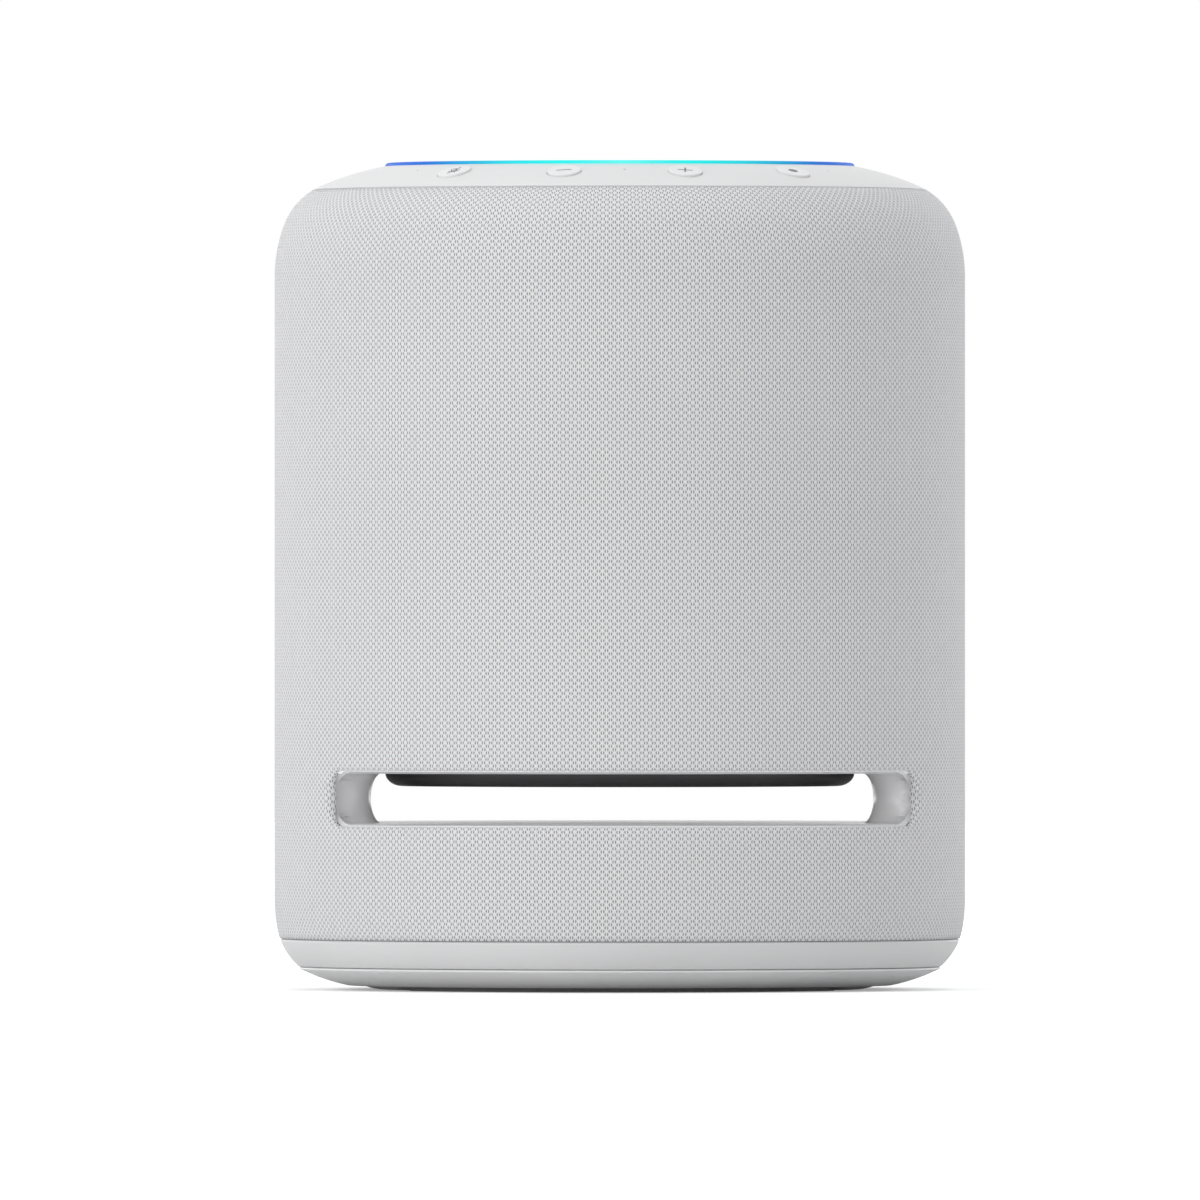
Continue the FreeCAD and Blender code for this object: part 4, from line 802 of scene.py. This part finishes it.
def printed_mark(name, outlines, azimuth, body):
    """Flat inlay on a button's dished top: each outline is laid a hair above it, with a thin side."""
    points, faces = [], []
    for outline in outlines:
        size, first = len(outline), len(points)
        share = np.hypot(outline[:, 0], outline[:, 1]) / BUTTON_RADIUS
        level = BUTTON_RISE - 0.00005 * (1 - share ** 2)
        for lift in (0.00004, -0.00004):
            points += np.column_stack([outline, level + lift]).tolist()
        faces.append(list(range(first, first + size)))
        faces.append([first + size + k for k in range(size)][::-1])
        faces += [[first + k, first + size + k, first + size + (k + 1) % size, first + (k + 1) % size]
                  for k in range(size)]
    points = np.array(points)
    turn_cos, turn_sin = math.cos(azimuth), math.sin(azimuth)
    points[:, :2] = points[:, :2] @ np.array([[turn_cos, -turn_sin], [turn_sin, turn_cos]])
    placed = on_cap(points, azimuth)
    return build(name, placed, faces, "button_print", body, smooth=False, merge=False)


def buttons():
    """The four buttons and their marks: muted microphone, minus, plus and dot."""
    names = ["mic_off", "volume_down", "volume_up", "action"]
    bar = 0.00042
    dot_angle = np.linspace(0.0, 2 * math.pi, 33)[:-1]
    marks = {
        "mic_off": [ribbon(np.array((0.0, 0.0011)), 0.0007, 0.0, 180.0, 0.00028),
                    ribbon(np.array((0.0, 0.0001)), 0.0007, 180.0, 360.0, 0.00028),
                    capsule((-0.0007, 0.0002), (-0.0007, 0.0010), 0.00028),
                    capsule((0.0007, 0.0002), (0.0007, 0.0010), 0.00028),
                    ribbon(np.array((0.0, 0.0002)), 0.0014, 185.0, 355.0, 0.00028),
                    capsule((0, -0.00135), (0, -0.0020), 0.00028),
                    capsule((-0.0018, -0.0017), (0.0018, 0.0021), 0.00030)],
        "volume_down": [capsule((-0.0017, 0), (0.0017, 0), bar)],
        "volume_up": [capsule((-0.0017, 0), (0.0017, 0), bar),
                      capsule((0, 0.00034), (0, 0.0017), bar), capsule((0, -0.0017), (0, -0.00034), bar)],
        "action": [0.0012 * np.stack([np.cos(dot_angle), np.sin(dot_angle)], -1)]}
    for name, azimuth in zip(names, button_azimuths()):
        button(name, azimuth)
        printed_mark(name + "_mark", marks[name], azimuth, name + "_key")


# ---- slot ----

def mouth_share(y):
    """How far depth y has gone from the throat, 0, to the mouth, 1."""
    mouth_y = math.sqrt((CASE_RADIUS - COLUMN_DEPTH) ** 2 - MOUTH_HALF ** 2)
    return np.clip((np.abs(y) - (mouth_y - FLARE_LENGTH)) / FLARE_LENGTH, 0.0, 1.0)


def slot_edge(y, across, level):
    """Sideways place of the wall at depth y: a straight throat that widens to the rear, and a flare.

    The flare is a mix of a square and a quarter ellipse of the share gone from throat to mouth.
    """
    share = mouth_share(y)
    straight = MOUTH_HALF - FRONT_THROAT_INSET + (FRONT_THROAT_INSET - REAR_THROAT_INSET) * np.clip(
        0.5 + y / THROAT_TAPER_LENGTH, 0.0, 1.0)
    ease = 0.35 * share ** 2 + 0.65 * (1 - np.sqrt(1 - share ** 2))
    half = straight + (MOUTH_HALF - straight) * ease
    bulge = SLOT_BULGE + (MOUTH_BULGE - SLOT_BULGE) * share ** 2
    ends = np.where(np.abs(across) > 0.999, np.sqrt(np.clip(1 - level ** 2, 0.0, 1.0)), 0.0)
    return across * (half - bulge) + np.sign(across) * bulge * ends


def slot_wall(across, level, share):
    """Points of the slot's wall: across is -1..1 over the flat part, level -1..1 from floor to ceiling.

    Each line of the wall runs in depth from rim to rim. Its ends lie where x^2 + y^2 = reach^2, found
    by halving. Near the rim the wall flares by the square of the nearness.
    """
    reach = CASE_RADIUS - DECK_DEPTH - (COLUMN_DEPTH - DECK_DEPTH) * (1 - level ** 2)
    limits = []
    for way in (-1.0, 1.0):
        low, high = np.zeros_like(across), reach + 0 * across
        for _ in range(40):
            middle = (low + high) / 2
            outside = slot_edge(way * middle, across, level) ** 2 + middle ** 2 > reach ** 2
            low, high = np.where(outside, low, middle), np.where(outside, middle, high)
        limits.append(way * low)
    y = limits[0] + (limits[1] - limits[0]) * share
    x = slot_edge(y, across, level)
    nearness = np.clip(1 - (CASE_RADIUS - CLOTH - np.hypot(x, y)) / 0.0045, 0.0, 1.0)
    half_height = (SLOT_CEILING - SLOT_FLOOR) / 2 + LIP_FLARE * nearness ** 2
    return np.stack([x, y, SLOT_MIDDLE + level * half_height], -1)


def depth_shares(count=88):
    """Shares of the depth, closer together near both mouths."""
    return 0.5 - 0.5 * np.cos(np.linspace(0.0, math.pi, count))


def slot_liner():
    """Deck and both columns of the slot: one wall surface carried from the front to the rear skin."""
    share = depth_shares()[:, None]
    end = np.linspace(0.0, math.pi, 21)
    flat = np.linspace(1.0, -1.0, 91)
    across = np.concatenate([np.ones(21), flat[1:-1], -np.ones(21)])
    level = np.concatenate([np.cos(end), -np.ones(89), -np.cos(end)])
    points = slot_wall(across + 0 * share, level + 0 * share, share + 0 * across)
    faces = grid_faces(len(share), len(across), flip=True)
    # The slot plastic is lightened as painted light for the shade inside the slot.
    liner = build("slot_liner_shell", points, faces, "slot_plastic", "housing",
                  ["slot_liner"])
    thicken(liner, 0.0012, 0.0)
    return liner


def woofer_cover():
    """Dark dish under the woofer: flat floor, rounded corner, 24 radial slots.

    Columns bend to the slots' straight sides: at radius r a slot's edge lies at asin(half / r).
    """
    low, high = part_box("woofer_cover")
    rim, corner, slots, half = high.x, 0.0042, 24, 0.0015
    flat = rim - corner
    drop = SLOT_CEILING - low.z
    turn = np.radians(np.linspace(0.0, 90.0, 10))
    outer = np.stack([flat + corner * np.cos(turn), low.z + drop * (1 - np.sin(turn))], -1)
    inner_start, inner_end = 0.014, flat - 0.010
    radii = np.concatenate([outer[:, 0], np.linspace(flat - 0.003, inner_end, 4),
                            np.linspace(inner_end - 0.004, inner_start, 8), [0.010, 0.005, 0.0]])
    heights = np.concatenate([outer[:, 1], np.full(15, low.z)])
    step = 2 * math.pi / slots
    edge = np.arcsin(np.clip(half / np.maximum(radii, inner_start), 0.0, 0.9))[:, None]
    inside = np.linspace(-1.0, 1.0, 4) * edge
    outside = edge + (step - 2 * edge) * np.linspace(0.0, 1.0, 8)[1:-1]
    sector = np.concatenate([inside, outside], 1)
    azimuth = np.concatenate([sector + step * k for k in range(slots)] + [sector[:, :1] + 2 * math.pi], 1)
    radius = radii[:, None]
    points = np.stack([radius * np.sin(azimuth), -radius * np.cos(azimuth),
                       heights[:, None] + 0 * azimuth], -1)
    rows, columns = azimuth.shape
    keep = np.ones((rows - 1, columns - 1), bool)
    first, last = len(outer) + 3, len(outer) + 11
    opened = (np.arange(columns - 1) % sector.shape[1]) < 3
    keep[first:last, opened] = False
    faces = grid_faces(rows, columns).reshape(rows - 1, columns - 1, 4)[keep]
    cover = build("woofer_cover_dish", points, faces[:, ::-1], "dark_plastic", "housing",
                  ["woofer_cover"])
    thicken(cover, 0.0014, 0.0)
    return cover


# ---- base ----

def outline_profile(low, high, inset, count):
    """Radius and height of the outline between two normal angles."""
    along = np.linspace(along_at_angle(low), along_at_angle(high), count)
    points = skin(np.zeros(count), along, inset)
    return np.stack([-points[:, 1], points[:, 2]], -1)


def base_ring():
    """Ring below the cover: the outline with a rounded lower lip, closed by its inner wall."""
    outer = outline_profile(RING_FOOT + 0.3, RING_EDGE - 0.7, 0.0, 26)
    inner = outline_profile(RING_FOOT + 1.2, RING_EDGE - 0.3, 0.003, 14)[::-1]
    top = outline_profile(RING_EDGE - 0.2, RING_EDGE, 0.0003, 2)[1:]
    foot = outline_profile(RING_FOOT, RING_FOOT + 0.5, 0.0004, 2)[:1]
    profile = np.concatenate([foot, outer, top, inner, foot])
    return turned_piece("base_ring_shell", profile, "case_plastic", "housing",
                        ["base_ring"], 360)


def base_plate():
    """Saucer base: bright rim, curved underside, flat land and sunk middle, with two side lips.

    The lips lower the underside by a bump in radius that is only there near the sides.
    """
    edge = outline_profile(RING_FOOT, RING_FOOT + 1.0, 0.0, 2)[0]
    rim_r, rim_z = edge[0] - 0.0001, edge[1] - 0.00005
    land = CASE_RADIUS - 0.01825
    sag = arc_through((rim_r - 0.0005, rim_z - 0.0007), (land, 0.0011), 0.049, 22)
    lip = arc_points((rim_r - 0.00035, rim_z - 0.00035), 0.00035, 100.0, -30.0, 8)
    radii = np.concatenate([np.linspace(0.0, CASE_RADIUS - 0.0285, 20),
                            np.linspace(CASE_RADIUS - 0.0280, CASE_RADIUS - 0.0205, 26),
                            [CASE_RADIUS - 0.0195]])
    ground = np.where(radii > CASE_RADIUS - 0.0221, 0.0011, 0.0016)
    profile = np.concatenate([[[rim_r - 0.004, rim_z]], lip, sag, np.stack([radii, ground], -1)[::-1]])
    azimuth = np.linspace(-math.pi, math.pi, 361)
    radius, height = profile[:, :1], profile[:, 1:] + 0 * azimuth
    inner, outer = CASE_RADIUS - 0.02635, CASE_RADIUS - 0.02205
    beyond = np.clip((radius - inner) / (outer - inner), 0.0, 1.0)
    lip_z = 0.00015 + (0.0011 - 0.00015) * beyond ** 1.6
    in_band = (radius > inner - 0.004) & (radius < outer + 0.0002)
    half_angle = math.radians(90.0 - 62.2 - 0.5)
    near_side = np.abs(np.abs(azimuth) - math.pi / 2) < half_angle
    height = np.where(in_band & near_side, lip_z, height)
    points = np.stack([radius * np.sin(azimuth), -radius * np.cos(azimuth), height], -1)
    # The plate plastic is lightened as painted light for the dim underside.
    plate = build("base_plate_shell", points, grid_faces(len(profile), 361)[:, ::-1], "plate_plastic",
                  "housing", ["base_plate"])
    thicken(plate, 0.0008, 0.0)
    return plate


def arc_through(start, end, radius, count):
    """Points of a shallow arc from start to end that bulges down and outwards."""
    start, end = np.array(start), np.array(end)
    chord = end - start
    length = np.hypot(*chord)
    share = np.linspace(0.0, 1.0, count)[:, None]
    reach = math.sqrt(radius ** 2 - length ** 2 / 4)
    bulge = np.sqrt(radius ** 2 - (length * (share - 0.5)) ** 2) - reach
    normal = np.array([-chord[1], chord[0]]) / length
    return start + chord * share + normal * bulge


def feet():
    """Two rubber arcs: a rectangle with rounded corners carried round the front and the rear."""
    outer = CASE_RADIUS - 0.02635
    inner, top, corner = outer - 0.0097, 0.0016, 0.0003
    profile = np.concatenate([
        arc_points((outer - corner, corner), corner, -90.0, 0.0, 5), [[outer, top], [inner, top]],
        arc_points((inner + corner, corner), corner, 180.0, 270.0, 5)])
    profile = np.concatenate([profile, profile[:1]])
    half = math.radians(62.2)
    # The foot rubber's grey is lifted as painted light for the shade under the plate.
    front = turned_piece("front_foot", profile, "foot_rubber", "housing",
                         ["foot_pads"], 120, (-half, half))
    rear = turned_piece("rear_foot", profile, "foot_rubber", "housing",
                        ["foot_pads"], 120, (math.pi - half, math.pi + half))
    return front, rear


# ---- studio ----

def studio_floor():
    """White floor: for the camera it is lifted to white where nothing shades it."""
    floor = Finish("studio_floor")
    grain = floor.noise(floor.place(), 3.0, 1.0)
    paint = floor.add("ShaderNodeBsdfDiffuse", None,
                      {"Color": floor.mix(grain, grey(0.92), grey(0.925))})
    x, y, _ = floor.parts(floor.place())
    far = (x * x + y * y).math("SQRT").step(0.12, 0.60)
    lift = floor.add("ShaderNodeEmission", None,
                     {"Color": floor.mix(far, grey(0.30), grey(0.62)), "Strength": 1.0})
    both = floor.add("ShaderNodeAddShader", None, {0: paint, 1: lift})
    camera = floor.add("ShaderNodeLightPath", None, None, 0)
    shown = floor.add("ShaderNodeMixShader", None, {0: camera, 1: paint, 2: both})
    floor.end(shown)
    mesh = bpy.data.meshes.new("studio_floor")
    near, far, wide = -9.0, 6.0, 4.0
    mesh.from_pydata([(-wide, near, 0), (wide, near, 0), (wide, far, 0), (-wide, far, 0)], [], [(0, 1, 2, 3)])
    mesh.materials.append(floor.material)
    plane = bpy.data.objects.new("studio_floor", mesh)
    bpy.context.scene.collection.objects.link(plane)


def studio_world():
    """White surroundings for the camera, for gloss and for glass; plain grey light for the rest."""
    world = bpy.data.worlds.new("studio")
    bpy.context.scene.world = world
    world.use_nodes = True
    tree = world.node_tree
    tree.nodes.clear()
    path = tree.nodes.new("ShaderNodeLightPath")
    seen, shown = (tree.nodes.new("ShaderNodeMath") for _ in range(2))
    seen.operation = shown.operation = "MAXIMUM"
    tree.links.new(path.outputs["Is Camera Ray"], seen.inputs[0])
    tree.links.new(path.outputs["Is Transmission Ray"], seen.inputs[1])
    tree.links.new(seen.outputs[0], shown.inputs[0])
    tree.links.new(path.outputs["Is Glossy Ray"], shown.inputs[1])
    ambient = tree.nodes.new("ShaderNodeBackground")
    ambient.inputs["Color"].default_value = (0.97, 0.98, 1.0, 1.0)
    ambient.inputs["Strength"].default_value = 0.52
    white = tree.nodes.new("ShaderNodeBackground")
    white.inputs["Color"].default_value = (1.0, 1.0, 1.0, 1.0)
    white.inputs["Strength"].default_value = 1.0
    mix = tree.nodes.new("ShaderNodeMixShader")
    end = tree.nodes.new("ShaderNodeOutputWorld")
    tree.links.new(shown.outputs[0], mix.inputs[0])
    tree.links.new(ambient.outputs[0], mix.inputs[1])
    tree.links.new(white.outputs[0], mix.inputs[2])
    tree.links.new(mix.outputs[0], end.inputs["Surface"])


def softbox(name, place, target, size, power):
    """Square area light that faces a target."""
    light = bpy.data.lights.new(name, "AREA")
    light.shape = "SQUARE"
    light.size = size
    light.energy = power
    lamp = bpy.data.objects.new(name, light)
    lamp.location = place
    heading = Vector(target) - Vector(place)
    lamp.rotation_euler = heading.to_track_quat("-Z", "Y").to_euler()
    bpy.context.scene.collection.objects.link(lamp)


def studio_lights():
    """Large soft key from the upper left, a weaker one from the right, and one overhead."""
    middle = (0.0, 0.0, CASE_TOP / 2)
    softbox("key_left", (-1.6, -1.4, 0.5), middle, 1.4, 20.0)
    softbox("fill_right", (1.6, -1.0, 0.5), middle, 1.2, 3.5)
    softbox("overhead", (0.0, -0.1, 1.7), middle, 1.4, 11.0)
    softbox("rear_left", (-1.1, 1.5, 0.35), middle, 0.9, 7.0)
    softbox("rear_right", (1.1, 1.5, 0.35), middle, 0.9, 7.0)


def camera():
    """Level camera far off, a degree to the left of the front, a hair left of the axis."""
    azimuth, distance, frame_width, offset, height = math.radians(-1.0), 8.0, 0.29916, 0.00494, 0.0971
    back = Vector((math.sin(azimuth), -math.cos(azimuth), 0.0))
    right = Vector((math.cos(azimuth), math.sin(azimuth), 0.0))
    data = bpy.data.cameras.new("camera")
    data.sensor_width = 36.0
    data.lens = data.sensor_width * distance / frame_width
    data.clip_end = 60.0
    eye = bpy.data.objects.new("camera", data)
    eye.location = back * distance - right * offset + Vector((0.0, 0.0, height))
    eye.rotation_euler = (-back).to_track_quat("-Z", "Y").to_euler()
    bpy.context.scene.collection.objects.link(eye)
    bpy.context.scene.camera = eye
    bpy.context.scene.view_settings.view_transform = "Standard"


camera()
dress_frame()
knitted_cover()
cap_shell()
light_ring()
recess_cloth()
buttons()
slot_liner()
woofer_cover()
base_ring()
base_plate()
feet()
studio_floor()
studio_world()
studio_lights()
